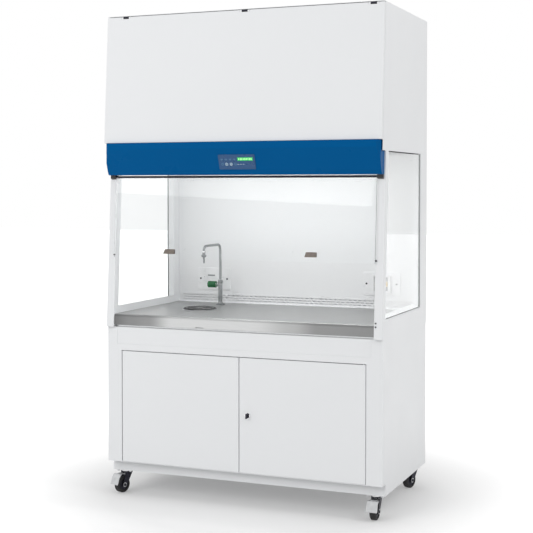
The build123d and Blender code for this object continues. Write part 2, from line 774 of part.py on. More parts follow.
# Tap handle: fluted round grip on the valve spindle
knob_face = sink_x - tap_bonnet_reach - 0.4
with BuildPart() as tap_handle:
    with BuildSketch(side_plane(knob_face)):
        with Locations((tap_y, valve_z)):
            Circle(11)
    extrude(amount=-6)
    with BuildSketch(side_plane(knob_face - 6)):
        with Locations((tap_y, valve_z)):
            Circle(knob_radius)
            with PolarLocations(knob_radius + 3.2, knob_flutes):
                Circle(5, mode=Mode.SUBTRACT)
    extrude(amount=-(knob_length - 6))
    chamfer(tap_handle.edges().group_by(Axis.X)[0], length=0.8)
    with BuildSketch(side_plane(knob_face)):
        with Locations((tap_y, valve_z)):
            Circle(tap_spindle_radius + running_gap)
    extrude(amount=-11, mode=Mode.SUBTRACT)
save(tap_handle, "tap_handle")

# Slanted front posts of the chamber
post_rise = head_bottom - base_top
for label, side in (("post_left", -1), ("post_right", 1)):
    start_x = inner_half if side > 0 else -half_width
    with BuildPart() as chamber_post:
        for inset, mode in ((0, Mode.ADD), (sheet, Mode.SUBTRACT)):
            over = 20 if inset else 0
            low, high = base_top - over, head_bottom + over
            with BuildSketch(side_plane(start_x + inset)):
                with BuildLine():
                    Polyline((slope_y(low) + inset, low), (slope_y(low) + post_depth - inset, low),
                             (slope_y(high) + post_depth - inset, high), (slope_y(high) + inset, high), close=True)
                make_face()
            extrude(amount=post_width - 2 * inset, mode=mode)
        fillet(chamber_post.edges().filter_by(lambda e: e.length > post_rise and e.center().Y < slope_y(e.center().Z) + 1),
               radius=2)
    save(chamber_post, label)

# Side frames: hollow sill with a slanted top and a hollow rear column, in one folded piece
side_front_low = slope_y(base_top) + post_depth
side_front_high = slope_y(sill_inner) + post_depth
pane_inner_x = half_width - pane_outset - pane_thickness
for label, side in (("hood_side_left", -1), ("hood_side_right", 1)):
    outer_x = side * half_width
    with BuildPart() as hood_side:
        with BuildSketch(side_plane(side * inner_half)):
            with BuildLine():
                Polyline((side_front_low, base_top), (rear - sheet, base_top), (rear - sheet, head_bottom),
                         (column_front, head_bottom), (column_front, sill_inner), (side_front_high, sill_inner),
                         close=True)
            make_face()
        extrude(amount=side * post_width)
        with BuildSketch(side_plane(side * (inner_half + sheet))):
            with BuildLine():
                Polyline((side_front_low + 2 * sheet, base_top + sheet), (rear, base_top + sheet),
                         (rear, head_bottom - sheet), (column_front + sheet, head_bottom - sheet),
                         (column_front + sheet, sill_outer - pane_seat - sheet),
                         (side_front_high + 2 * sheet, sill_outer - pane_seat - sheet), close=True)
            make_face()
        extrude(amount=side * (post_width - 2 * sheet), mode=Mode.SUBTRACT)
        with BuildSketch(Plane.XZ.offset(-(side_front_low - 1))):
            with BuildLine():
                Polyline((outer_x, sill_outer), (side * inner_half, sill_inner), (side * inner_half, sill_inner + 1),
                         (outer_x, sill_inner + 1), close=True)
            make_face()
        extrude(amount=-(column_front - side_front_low + 1), mode=Mode.SUBTRACT)
        with Locations((side * (pane_inner_x + pane_thickness / 2), (side_front_low + column_front) / 2,
                        sill_outer - pane_seat)):
            Box(pane_thickness + 2 * pane_fit, column_front - side_front_low, 2 * sill_rise,
                align=(Align.CENTER, Align.CENTER, Align.MIN), mode=Mode.SUBTRACT)
    save(hood_side, label)

# Side panes: clear sheets between the posts, the sills, the columns and the head
pane_bottom = sill_outer - pane_seat + pane_fit
with BuildPart() as side_panes:
    for side in (-1, 1):
        with BuildSketch(side_plane(side * pane_inner_x)):
            with BuildLine():
                Polyline((slope_y(pane_bottom) + post_depth + pane_fit, pane_bottom),
                         (column_front - pane_fit, pane_bottom), (column_front - pane_fit, head_bottom - pane_fit),
                         (slope_y(head_bottom) + post_depth + pane_fit, head_bottom - pane_fit), close=True)
            make_face()
        extrude(amount=side * pane_thickness)
save(side_panes, "side_panes")

# Outer rear panel of hood and head, pierced for the power inlet
inlet_z = top - inlet_drop
with BuildPart() as rear_panel:
    with Locations((0, rear - sheet / 2, (base_top + top - sheet) / 2)):
        Box(overall_width, sheet, hood_height - sheet)
    with Locations((inlet_offset, rear - sheet / 2, inlet_z)):
        Box(inlet_size[0] - 12, 3 * sheet, inlet_size[1] - 12, mode=Mode.SUBTRACT)
save(rear_panel, "rear_panel")

# Power inlet: flanged socket seated behind the rear panel, with three contact pins
with BuildPart() as power_inlet:
    with Locations((inlet_offset, rear - sheet - 1.5, inlet_z)):
        Box(inlet_size[0], 3, inlet_size[1])
    with Locations((inlet_offset, rear - sheet - inlet_size[2] / 2, inlet_z)):
        Box(inlet_size[0] - 16, inlet_size[2], inlet_size[1] - 14)
    with Locations((inlet_offset, rear - sheet - 9, inlet_z)):
        Box(inlet_size[0] - 22, 18.1, inlet_size[1] - 20, mode=Mode.SUBTRACT)
    with Locations(*[(inlet_offset + 10 * k, rear - sheet - 13, inlet_z + (4 if k == 0 else -3)) for k in (-1, 0, 1)]):
        Box(2, 12, 6)
save(power_inlet, "power_inlet")

# Slotted rear baffle: folded sheet with three staggered rows of slots above its foot flange
baffle_half = inner_half - pane_fit
with BuildPart() as rear_baffle:
    with Locations((0, baffle_y + sheet / 2, worktop_top)):
        Box(2 * baffle_half, sheet, head_bottom - worktop_top, align=(Align.CENTER, Align.CENTER, Align.MIN))
    with Locations(*[(side * (baffle_half - sheet / 2), baffle_y + baffle_return / 2, worktop_top) for side in (-1, 1)]):
        Box(sheet, baffle_return, head_bottom - worktop_top, align=(Align.CENTER, Align.CENTER, Align.MIN))
    with Locations((0, baffle_y + sheet / 2, worktop_top)):
        Box(2 * baffle_half, 2 * baffle_flange, sheet, align=(Align.CENTER, Align.CENTER, Align.MIN))
    with BuildSketch(Plane(origin=(0, baffle_y, worktop_top), x_dir=(1, 0, 0), z_dir=(0, -1, 0))):
        for row, count in ((1, row_slots), (2, row_slots - 1), (3, row_slots)):
            with Locations((0, row * slot_row_pitch)):
                with GridLocations(slot_pitch, slot_row_pitch, count, 1):
                    Rectangle(slot_size[0], slot_size[1])
    extrude(amount=-sheet, mode=Mode.SUBTRACT)
save(rear_baffle, "rear_baffle")

# Socket plates and their outlets: a flush three-pin one on the left, a raised one on the right
plate_z = base_top + plate_height
plate_plane = Plane(origin=(0, baffle_y, plate_z), x_dir=(1, 0, 0), z_dir=(0, -1, 0))
bezel_hole = (bezel_size[0] - 24, bezel_size[1] - 10)
with BuildPart() as socket_plates:
    for center_x, cut in ((socket_left_x, outlet_size), (socket_right_x, bezel_hole)):
        with BuildSketch(plate_plane):
            with Locations((center_x, 0)):
                RectangleRounded(plate_size[0], plate_size[1], plate_corner)
                Rectangle(cut[0], cut[1], mode=Mode.SUBTRACT)
        extrude(amount=plate_thickness)
    fillet(socket_plates.edges().group_by(Axis.Y)[0].filter_by(lambda e: abs(e.center().Z - plate_z) > 42), radius=1.5)
save(socket_plates, "socket_plates")

with BuildPart() as socket_outlets:
    with BuildSketch(plate_plane):
        with Locations((socket_left_x, 0)):
            Rectangle(outlet_size[0], outlet_size[1])
            with GridLocations(15, 1, 3, 1):
                Circle(3, mode=Mode.SUBTRACT)
    extrude(amount=plate_thickness + 1)
    with BuildSketch(plate_plane):
        with Locations((socket_left_x, 0)):
            Rectangle(outlet_size[0], outlet_size[1])
    extrude(amount=1)
    with BuildSketch(plate_plane):
        with Locations((socket_right_x, 0)):
            Rectangle(bezel_hole[0], bezel_hole[1])
    extrude(amount=plate_thickness + 3)
    with BuildSketch(plate_plane.offset(plate_thickness)):
        with Locations((socket_right_x, 0)):
            RectangleRounded(bezel_size[0], bezel_size[1], 3)
            Rectangle(bezel_hole[0], bezel_hole[1], mode=Mode.SUBTRACT)
    extrude(amount=bezel_reach)
    with BuildSketch(plate_plane.offset(plate_thickness + 3)):
        with GridLocations(0, 50, 1, 2):
            with Locations((socket_right_x, 0)):
                Rectangle(34, 14)
    extrude(amount=4)
save(socket_outlets, "socket_outlets")

# Small screws and the two stop studs of the sash, on posts and plates
stop_rise = slope_length - sash_length + 12
lip_screw_rise = 70
with BuildPart() as screws:
    with BuildSketch(slope_plane()):
        for side in (-1, 1):
            with Locations((side * (inner_half + 4.5), stop_rise)):
                Circle(sash_stop_radius)
    extrude(amount=sash_axis_out - pane_thickness / 2 - pane_fit)
    with BuildSketch(slope_plane()):
        with Locations((inner_half + 8, lip_screw_rise), (inner_half + 8, lip_screw_rise - 16)):
            Circle(post_screw_radius)
    extrude(amount=screw_head)
    with BuildSketch(plate_plane.offset(plate_thickness)):
        for center_x in (socket_left_x, socket_right_x):
            with Locations((center_x, 0)):
                with GridLocations(plate_screw_spacing, 1, 2, 1):
                    Circle(screw_head_radius)
    extrude(amount=screw_head)
save(screws, "screws")

# Fascia: hollow moulding with a flat brow, a sloping face, a rounded lower edge and bevelled ends


def fascia_outline(inset):
    """Closed side outline of the fascia, moved in by a wall and open past the post plane."""
    brow_bottom = fascia_top - fascia_brow
    face_bottom = brow_bottom - fascia_slope_drop
    foot_y = fascia_front + fascia_slope_drop * math.tan(fascia_slope)
    back = 30 if inset else 0
    shift = inset / math.cos(fascia_slope)
    return FilletPolyline((slope_y(fascia_top) + back, fascia_top - inset), (fascia_front + inset, fascia_top - inset),
                          (fascia_front + inset, brow_bottom), (foot_y + shift, face_bottom),
                          (foot_y + shift + 9, fascia_bottom + inset), (slope_y(fascia_bottom) + back, fascia_bottom + inset),
                          radius=(3, 4, 12, 6))


with BuildPart() as fascia_cavity:
    with BuildSketch(side_plane(-(fascia_half - fascia_wall))):
        with BuildLine():
            inner_line = fascia_outline(fascia_wall)
            Line(inner_line @ 1, inner_line @ 0)
        make_face()
    extrude(amount=2 * (fascia_half - fascia_wall))
    with BuildSketch(Plane.XY.offset(fascia_bottom - 50)):
        with BuildLine():
            reach_x = fascia_half - fascia_wall
            Polyline((-reach_x, rear), (-reach_x, fascia_front + fascia_bevel[1]),
                     (-reach_x + fascia_bevel[0], fascia_front), (reach_x - fascia_bevel[0], fascia_front),
                     (reach_x, fascia_front + fascia_bevel[1]), (reach_x, rear), close=True)
        make_face()
    extrude(amount=fascia_height + 100, mode=Mode.INTERSECT)

control_plane = Plane(origin=(0, panel_center_y, panel_center_z), x_dir=(1, 0, 0),
                      z_dir=(0, -math.cos(fascia_slope), -math.sin(fascia_slope)))
with BuildPart() as fascia:
    with BuildSketch(side_plane(-fascia_half)):
        with BuildLine():
            outer_line = fascia_outline(0)
            Line(outer_line @ 1, outer_line @ 0)
        make_face()
    extrude(amount=2 * fascia_half)
    with BuildSketch(Plane.XY.offset(fascia_bottom - 50)):
        with BuildLine():
            Polyline((-fascia_half, rear), (-fascia_half, fascia_front + fascia_bevel[1]),
                     (-fascia_half + fascia_bevel[0], fascia_front), (fascia_half - fascia_bevel[0], fascia_front),
                     (fascia_half, fascia_front + fascia_bevel[1]), (fascia_half, rear), close=True)
        make_face()
    extrude(amount=fascia_height + 100, mode=Mode.INTERSECT)
    add(fascia_cavity.part, mode=Mode.SUBTRACT)
    with BuildSketch(control_plane.offset(1)):
        RectangleRounded(panel_size[0] - 8, panel_size[1] - 8, panel_corner)
    extrude(amount=-3 * fascia_wall, mode=Mode.SUBTRACT)
save(fascia, "fascia")

# Control panel plate with a display cut-out and two key holes
with BuildPart() as control_panel:
    with BuildSketch(control_plane):
        RectangleRounded(panel_size[0], panel_size[1], panel_corner)
        with Locations(display_center):
            Rectangle(display_size[0], display_size[1], mode=Mode.SUBTRACT)
        with Locations(*key_spots.values()):
            Circle(key_radius + 0.15, mode=Mode.SUBTRACT)
    extrude(amount=panel_plate)
save(control_panel, "control_panel")

with BuildPart() as display_window:
    with BuildSketch(control_plane):
        with Locations(display_center):
            Rectangle(display_size[0] - 0.4, display_size[1] - 0.4)
    extrude(amount=panel_plate - 0.5)
save(display_window, "display_window")

for label, spot in key_spots.items():
    with BuildPart() as key_cap:
        with BuildSketch(control_plane.offset(-0.2)):
            with Locations(spot):
                Circle(key_radius + 1.5)
        extrude(amount=-key_flange)
        with BuildSketch(control_plane.offset(-0.2)):
            with Locations(spot):
                Circle(key_radius)
        extrude(amount=0.2 + panel_plate + key_proud)
    save(key_cap, label)

# Sash: dark top rail on two pivot blocks, clear pane and two folded finger pulls
rail_plane = side_plane(-(inner_half + 14))
with BuildPart() as sash_pivots:
    for side in (-1, 1):
        block_x = side * (inner_half + 4 + pivot_block[0] / 2)
        with BuildSketch(side_plane(block_x - pivot_block[0] / 2)):
            with BuildLine():
                Polyline((slope_y(fascia_bottom), fascia_bottom), (sash_axis_y - 6, fascia_bottom),
                         (sash_axis_y - 6, sash_axis_z - 6), (slope_y(sash_axis_z - 11), sash_axis_z - 11), close=True)
            make_face()
        extrude(amount=pivot_block[0])
        with BuildSketch(side_plane(block_x - pivot_block[0] / 2)):
            with Locations((sash_axis_y, sash_axis_z)):
                Circle(3 + running_gap)
        extrude(amount=pivot_block[0], mode=Mode.SUBTRACT)
save(sash_pivots, "sash_pivots")

rail_half = inner_half + 3.5
with BuildPart() as sash_rail:
    with BuildSketch(side_plane(-rail_half)):
        with Locations((sash_axis_y, sash_axis_z)):
            Circle(sash_rail_radius)
    extrude(amount=2 * rail_half)
    with BuildSketch(side_plane(-rail_half - pivot_block[0] + 2)):
        with Locations((sash_axis_y, sash_axis_z)):
            Circle(3)
    extrude(amount=2 * (rail_half + pivot_block[0] - 2))
    with BuildSketch(slope_plane(sash_axis_out - pane_thickness / 2)):
        with Locations((0, slope_length - 2)):
            Rectangle(2 * (inner_half - 2), 4, align=(Align.CENTER, Align.MIN))
    extrude(amount=pane_thickness, mode=Mode.SUBTRACT)
save(sash_rail, "sash_rail")

with BuildPart() as sash_pane:
    with BuildSketch(slope_plane(sash_axis_out - pane_thickness / 2)):
        with Locations((0, slope_length - sash_rail_radius - 0.2)):
            Rectangle(2 * sash_half, sash_length - sash_rail_radius, align=(Align.CENTER, Align.MAX))
    extrude(amount=pane_thickness)
    fillet(sash_pane.edges().filter_by(lambda e: abs(e.length - pane_thickness) < 0.01).group_by(Axis.Z)[0], radius=6)
save(sash_pane, "sash_pane")

pull_top = slope_length - sash_length + pull_rise + pull_height
with BuildPart() as sash_pulls:
    for side in (-1, 1):
        pull_plane = Plane(origin=slope_plane(sash_axis_out + pane_thickness / 2).from_local_coords(
            Vector(side * pull_spread - pull_width / 2, 0, 0)), x_dir=(0, -math.cos(lean), math.sin(lean)),
            z_dir=(-1, 0, 0))
        with BuildSketch(pull_plane):
            with BuildLine():
                Polyline((0, pull_top), (0, pull_top - pull_height), (pull_sheet, pull_top - pull_height),
                         (pull_sheet, pull_top - 3 * pull_sheet), (pull_reach - pull_sheet, pull_top - pull_height),
                         (pull_reach + 1, pull_top - pull_height), (pull_sheet + 1, pull_top), close=True)
            make_face()
        extrude(amount=-pull_width)
save(sash_pulls, "sash_pulls")

# Head shell: two sides and the top in one wrap, with ledges on the posts, front jambs and exhaust slots


def head_outline(inset, out):
    """Side outline of the head behind its front panel."""
    low, high = head_bottom - 2 * inset, top - inset
    return Polyline((slope_y(low, out), low), (slope_y(high, out), high), (rear - sheet + inset, high),
                    (rear - sheet + inset, low), close=True)


shell_out = head_proud - head_panel_fold - 2
with BuildPart() as head_shell:
    with BuildSketch(side_plane(-half_width)):
        with BuildLine():
            head_outline(0, shell_out)
        make_face()
    extrude(amount=overall_width)
    with BuildSketch(side_plane(-half_width + sheet)):
        with BuildLine():
            head_outline(sheet, shell_out + 30)
        make_face()
    extrude(amount=overall_width - 2 * sheet, mode=Mode.SUBTRACT)
    for side in (-1, 1):
        ledge_front = slope_y(head_bottom) + 1
        with Locations((side * (half_width - ledge_width / 2), (ledge_front + rear - sheet) / 2, head_bottom)):
            Box(ledge_width, rear - sheet - ledge_front, sheet, align=(Align.CENTER, Align.CENTER, Align.MIN))
        jamb_low, jamb_high = fascia_top + 1, top - sheet / 2
        with BuildSketch(side_plane(side * half_width)):
            with BuildLine():
                Polyline((slope_y(jamb_low, shell_out), jamb_low), (slope_y(jamb_high, shell_out), jamb_high),
                         (slope_y(jamb_high, shell_out) + sheet, jamb_high),
                         (slope_y(jamb_low, shell_out) + sheet, jamb_low), close=True)
            make_face()
        extrude(amount=-side * jamb_width)
    roof_front = slope_y(top - sheet, head_proud)
    with Locations((0, roof_front, top - sheet)):
        Box(overall_width, head_proud - shell_out + 2, sheet, align=(Align.CENTER, Align.MIN, Align.MIN))
    with BuildSketch(Plane.XY.offset(top)):
        with Locations((0, head_middle_y)):
            with GridLocations(exhaust_pitch, 1, exhaust_slots, 1):
                Rectangle(exhaust_slot[0], exhaust_slot[1])
    extrude(amount=-2 * sheet, mode=Mode.SUBTRACT)
save(head_shell, "head_shell")

# Front panel of the head: folded pan with the moving knuckles of its three hinges
panel_low = fascia_top + 2
panel_high = hinge_axis_z + head_panel_gap
panel_start = (panel_low - base_top - head_proud * math.sin(lean)) / math.cos(lean)
panel_length = (panel_high - panel_low) / math.cos(lean)
hinge_spots = [hinge_offset + k * hinge_pitch for k in (-1, 0, 1)]
hinge_moving = (hinge_length - hinge_center_length) / 2 - 0.4
with BuildPart() as front_panel:
    with BuildSketch(slope_plane(head_proud)):
        with Locations((0, panel_start)):
            Rectangle(overall_width, panel_length, align=(Align.CENTER, Align.MIN))
    extrude(amount=-head_panel_fold)
    with BuildSketch(slope_plane(head_proud - sheet)):
        with Locations((0, panel_start + sheet)):
            Rectangle(overall_width - 2 * sheet, panel_length - 2 * sheet, align=(Align.CENTER, Align.MIN))
    extrude(amount=-head_panel_fold, mode=Mode.SUBTRACT)
    notch_half = hinge_length / 2 + 1
    for spot in hinge_spots:
        with Locations((spot, hinge_axis_y, hinge_axis_z)):
            Box(2 * notch_half, 60, 2 * (hinge_radius + 2), mode=Mode.SUBTRACT)
        for side in (-1, 1):
            barrel_x = spot + side * (hinge_length / 2 - hinge_moving / 2)
            with BuildSketch(side_plane(barrel_x - hinge_moving / 2)):
                with Locations((hinge_axis_y, hinge_axis_z)):
                    Circle(hinge_radius)
                tab_low = hinge_axis_z - hinge_radius - 5
                with BuildLine():
                    Polyline((hinge_axis_y - hinge_radius, hinge_axis_z), (hinge_axis_y, hinge_axis_z),
                             (slope_y(tab_low, head_proud) + sheet, tab_low), (slope_y(tab_low, head_proud), tab_low),
                             close=True)
                make_face()
            extrude(amount=hinge_moving)
            with BuildSketch(side_plane(barrel_x - hinge_moving / 2)):
                with Locations((hinge_axis_y, hinge_axis_z)):
                    Circle(hinge_pin_radius + running_gap)
            extrude(amount=hinge_moving, mode=Mode.SUBTRACT)
save(front_panel, "front_panel")

# Fixed halves of the hinges, with their pins, hung under the roof edge
with BuildPart() as panel_hinges:
    for spot in hinge_spots:
        with BuildSketch(side_plane(spot - hinge_center_length / 2)):
            with Locations((hinge_axis_y, hinge_axis_z)):
                Circle(hinge_radius)
            with Locations((hinge_axis_y + hinge_radius, (hinge_axis_z + top - sheet) / 2)):
                Rectangle(2 * hinge_radius, top - sheet - hinge_axis_z)
        extrude(amount=hinge_center_length)
        with BuildSketch(side_plane(spot - hinge_length / 2)):
            with Locations((hinge_axis_y, hinge_axis_z)):
                Circle(hinge_pin_radius)
        extrude(amount=hinge_length)
save(panel_hinges, "panel_hinges")

# Filter deck: chamber ceiling with an opening for the filters and a skirt behind the fascia
deck_front = slope_y(deck_z) + 1
deck_depth = rear - sheet - deck_front
deck_y = (deck_front + rear - sheet) / 2
skirt_y = slope_y(fascia_bottom) + skirt_gap
with BuildPart() as filter_deck:
    with Locations((0, deck_y, deck_z)):
        Box(2 * (half_width - sheet), deck_depth, sheet, align=(Align.CENTER, Align.CENTER, Align.MIN))
    with Locations(*[(side * (half_width - 1.5 * sheet), deck_y, deck_z) for side in (-1, 1)]):
        Box(sheet, deck_depth, deck_edge, align=(Align.CENTER, Align.CENTER, Align.MIN))
    with Locations((0, head_middle_y, deck_z)):
        Box(deck_opening[0], deck_opening[1], 4 * sheet, mode=Mode.SUBTRACT)
    with Locations((0, skirt_y, fascia_bottom + 4)):
        Box(2 * (inner_half - 1), sheet, deck_z - fascia_bottom - 4,
            align=(Align.CENTER, Align.CENTER, Align.MIN))
save(filter_deck, "filter_deck")

# Prefilter: frame with a pleated pad
pleat_pitch = 30
with BuildPart() as prefilter:
    with Locations((0, head_middle_y, deck_z + sheet)):
        Box(*prefilter_size, align=(Align.CENTER, Align.CENTER, Align.MIN))
    with BuildSketch(Plane.XZ.offset(-(head_middle_y - prefilter_size[1] / 2 + 12))):
        with Locations((0, deck_z + sheet)):
            with GridLocations(pleat_pitch, 1, int((prefilter_size[0] - 40) / pleat_pitch), 1):
                Triangle(a=pleat_pitch - 4, b=17, c=17, align=(Align.CENTER, Align.MIN))
    extrude(amount=-(prefilter_size[1] - 24), mode=Mode.SUBTRACT)
save(prefilter, "prefilter")

# Main filter: carbon cassette with a raised edge round its bed
filter_z = deck_z + sheet + prefilter_size[2]
with BuildPart() as main_filter:
    with Locations((0, head_middle_y, filter_z)):
        Box(*filter_size, align=(Align.CENTER, Align.CENTER, Align.MIN))
    with Locations((0, head_middle_y, filter_z + filter_size[2])):
        Box(filter_size[0] - 36, filter_size[1] - 36, 12, align=(Align.CENTER, Align.CENTER, Align.MAX),
            mode=Mode.SUBTRACT)
save(main_filter, "main_filter")

# Fan deck: plate with a rolled bell mouth and the welded bridge that carries the motor
fan_deck_front = slope_y(fan_deck_z, shell_out) + sheet + 3
fan_deck_depth = rear - sheet - fan_deck_front
fan_deck_y = (fan_deck_front + rear - sheet) / 2
fan_y = head_middle_y
with BuildPart() as fan_deck:
    with Locations((0, fan_deck_y, fan_deck_z)):
        Box(2 * (half_width - sheet), fan_deck_depth, sheet, align=(Align.CENTER, Align.CENTER, Align.MIN))
    with Locations((0, fan_y, fan_deck_z)):
        Cylinder(fan_inlet_radius + bell_height, 4 * sheet, mode=Mode.SUBTRACT)
    with BuildSketch(Plane.XZ.offset(-fan_y)):
        with BuildLine():
            bell = CenterArc((fan_inlet_radius + bell_height, fan_deck_z + bell_height), bell_height, 180, 90)
            offset(bell, amount=sheet, side=Side.BOTH, closed=True)
        make_face()
    revolve(axis=Axis((0, fan_y, 0), (0, 0, 1)))
    for side in (-1, 1):
        with Locations((side * bridge_span / 2, fan_y, fan_deck_z + sheet)):
            Box(bridge_sheet, bridge_width, bridge_height, align=(Align.CENTER, Align.CENTER, Align.MIN))
        with Locations((side * (half_width - 1.5 * sheet), fan_deck_y, fan_deck_z)):
            Box(sheet, fan_deck_depth, deck_edge, align=(Align.CENTER, Align.CENTER, Align.MIN))
    with Locations((0, fan_y, fan_deck_z + sheet + bridge_height)):
        Box(bridge_span + bridge_sheet, bridge_width, bridge_sheet, align=(Align.CENTER, Align.CENTER, Align.MAX))
save(fan_deck, "fan_deck")

# Fan wheel: backward-curved blades between a shroud ring and a back disc with its hub
wheel_low = fan_deck_z + bell_height + 4
wheel_high = wheel_low + fan_wheel_height
shroud_radius = fan_inlet_radius + 4
with BuildPart() as fan_wheel:
    with BuildSketch(Plane(origin=(0, fan_y, wheel_low))):
        Circle(wheel_disc_radius)
        Circle(shroud_radius, mode=Mode.SUBTRACT)
    extrude(amount=2)
    with BuildSketch(Plane(origin=(0, fan_y, wheel_high - 3))):
        Circle(wheel_disc_radius)
    extrude(amount=3)
    with BuildSketch(Plane(origin=(0, fan_y, wheel_low))):
        with PolarLocations(0, fan_blades):
            with BuildLine():
                blade = RadiusArc((shroud_radius - 40, 0), (0.82 * wheel_disc_radius, -0.53 * wheel_disc_radius), 150)
                offset(blade, amount=1.2, side=Side.BOTH, closed=True)
            make_face()
    extrude(amount=fan_wheel_height)
    with BuildSketch(Plane(origin=(0, fan_y, wheel_high - 34))):
        Circle(fan_hub_radius)
    extrude(amount=34)
    with BuildSketch(Plane(origin=(0, fan_y, wheel_high))):
        Circle(fan_shaft_radius + running_gap)
    extrude(amount=-28, mode=Mode.SUBTRACT)
save(fan_wheel, "fan_wheel")

# Fan motor: finned housing bolted under the bridge, its shaft in the wheel hub
motor_top = fan_deck_z + sheet + bridge_height - bridge_sheet
with BuildPart() as fan_motor:
    with BuildSketch(Plane(origin=(0, fan_y, motor_top - motor_height))):
        Circle(motor_radius)
        with PolarLocations(motor_radius, 24):
            Rectangle(8, 5, mode=Mode.SUBTRACT)
    extrude(amount=motor_height - 6)
    with BuildSketch(Plane(origin=(0, fan_y, motor_top - 6))):
        Circle(motor_radius - 8)
    extrude(amount=6)
    with BuildSketch(Plane(origin=(0, fan_y, motor_top - motor_height))):
        Circle(fan_shaft_radius)
    extrude(amount=-(motor_top - motor_height - wheel_high + 24))
save(fan_motor, "fan_motor")

# Lamp: long housing with a rounded diffuser under the filter deck
lamp_y = skirt_y + 70
with BuildPart() as lamp:
    with BuildSketch(side_plane(-lamp_size[0] / 2)):
        with Locations((lamp_y, deck_z - lamp_size[2] / 2)):
            Rectangle(lamp_size[1], lamp_size[2])
    extrude(amount=lamp_size[0])
    fillet(lamp.edges().filter_by(Axis.X).group_by(Axis.Z)[0], radius=12)
save(lamp, "lamp")
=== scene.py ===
import math

import bmesh
import bpy
from mathutils import Matrix, Vector


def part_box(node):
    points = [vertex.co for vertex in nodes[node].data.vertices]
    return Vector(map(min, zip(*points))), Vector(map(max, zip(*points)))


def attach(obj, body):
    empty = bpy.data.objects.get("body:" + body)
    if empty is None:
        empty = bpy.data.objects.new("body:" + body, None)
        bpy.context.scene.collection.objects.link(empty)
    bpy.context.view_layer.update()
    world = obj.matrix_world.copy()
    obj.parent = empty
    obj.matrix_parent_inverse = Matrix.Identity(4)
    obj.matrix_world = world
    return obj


# all sizes and places are in metres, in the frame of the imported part
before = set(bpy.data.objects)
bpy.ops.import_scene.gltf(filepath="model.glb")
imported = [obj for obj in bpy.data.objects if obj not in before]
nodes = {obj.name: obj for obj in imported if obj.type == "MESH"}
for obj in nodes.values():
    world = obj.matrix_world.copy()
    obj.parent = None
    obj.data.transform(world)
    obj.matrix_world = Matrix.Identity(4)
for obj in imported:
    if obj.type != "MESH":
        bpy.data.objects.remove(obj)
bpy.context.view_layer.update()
scene = bpy.context.scene
corners = ("fl", "fr", "rl", "rr")
frontCorners = ("fl", "fr")
print("frame loaded:", len(nodes), "nodes")

# materials: one small builder per finish, patterns in object coordinates
# a noise seldom leaves these two values, so ramps and ranges run between them
noiseLow, noiseHigh = 0.3, 0.7


def startMaterial(name):
    mat = bpy.data.materials.new(name)
    mat.use_nodes = True
    tree = mat.node_tree
    shader = tree.nodes["Principled BSDF"]
    place = tree.nodes.new("ShaderNodeTexCoord")
    return mat, tree, shader, place


def addNode(tree, kind, values):
    node = tree.nodes.new(kind)
    for socket, value in values.items():
        node.inputs[socket].default_value = value
    return node


def noiseAt(tree, place, scale, detail=3.0, stretch=None):
    noise = addNode(tree, "ShaderNodeTexNoise", {"Scale": scale, "Detail": detail})
    source = place.outputs["Object"]
    if stretch:
        scaled = addNode(tree, "ShaderNodeMapping", {"Scale": stretch})
        tree.links.new(source, scaled.inputs["Vector"])
        source = scaled.outputs["Vector"]
    tree.links.new(source, noise.inputs["Vector"])
    return noise.outputs["Fac"]


def spread(tree, fac, low, high):
    limits = {"From Min": noiseLow, "From Max": noiseHigh, "To Min": low, "To Max": high}
    ranged = addNode(tree, "ShaderNodeMapRange", limits)
    tree.links.new(fac, ranged.inputs["Value"])
    return ranged.outputs["Result"]


def tint(tree, fac, colorA, colorB):
    ramp = tree.nodes.new("ShaderNodeValToRGB")
    stops = ((noiseLow, colorA), (noiseHigh, colorB))
    for element, (position, color) in zip(ramp.color_ramp.elements, stops):
        element.position = position
        element.color = (*color, 1)
    tree.links.new(fac, ramp.inputs["Fac"])
    return ramp.outputs["Color"]


def shaded(color, share):
    return tuple(c * share for c in color)


def colorBy(tree, shader, fac, low, high):
    tree.links.new(tint(tree, fac, low, high), shader.inputs["Base Color"])


def roughBy(tree, shader, fac, rough, smoother, rougher):
    ranged = spread(tree, fac, rough - smoother, rough + rougher)
    tree.links.new(ranged, shader.inputs["Roughness"])


def relief(tree, shader, fac, depth, strength):
    bump = addNode(tree, "ShaderNodeBump", {"Strength": strength, "Distance": depth})
    tree.links.new(fac, bump.inputs["Height"])
    tree.links.new(bump.outputs["Normal"], shader.inputs["Normal"])


def paintFinish(name, color, rough, peel=220.0, depth=0.0002, shade=0.985, gloss=0.4):
    cloudScale, sheenScale, peelDetail, strength = 1.7, 9.0, 2.0, 0.25
    smoother, rougher = 0.04, 0.05
    mat, tree, shader, place = startMaterial(name)
    shader.inputs["Specular IOR Level"].default_value = gloss
    colorBy(tree, shader, noiseAt(tree, place, cloudScale), shaded(color, shade), color)
    roughBy(tree, shader, noiseAt(tree, place, sheenScale), rough, smoother, rougher)
    relief(tree, shader, noiseAt(tree, place, peel, peelDetail), depth, strength)
    return mat


def metalFinish(name, color, rough, scale, contrast, stretch=(1, 1, 1)):
    grainDetail, depth, strength = 4.0, 0.00005, 0.2
    smoother, rougher = 0.07, 0.09
    mat, tree, shader, place = startMaterial(name)
    shader.inputs["Metallic"].default_value = 1.0
    grain = noiseAt(tree, place, scale, grainDetail, stretch)
    colorBy(tree, shader, grain, shaded(color, 1 - contrast), color)
    roughBy(tree, shader, grain, rough, smoother, rougher)
    relief(tree, shader, grain, depth, strength)
    return mat


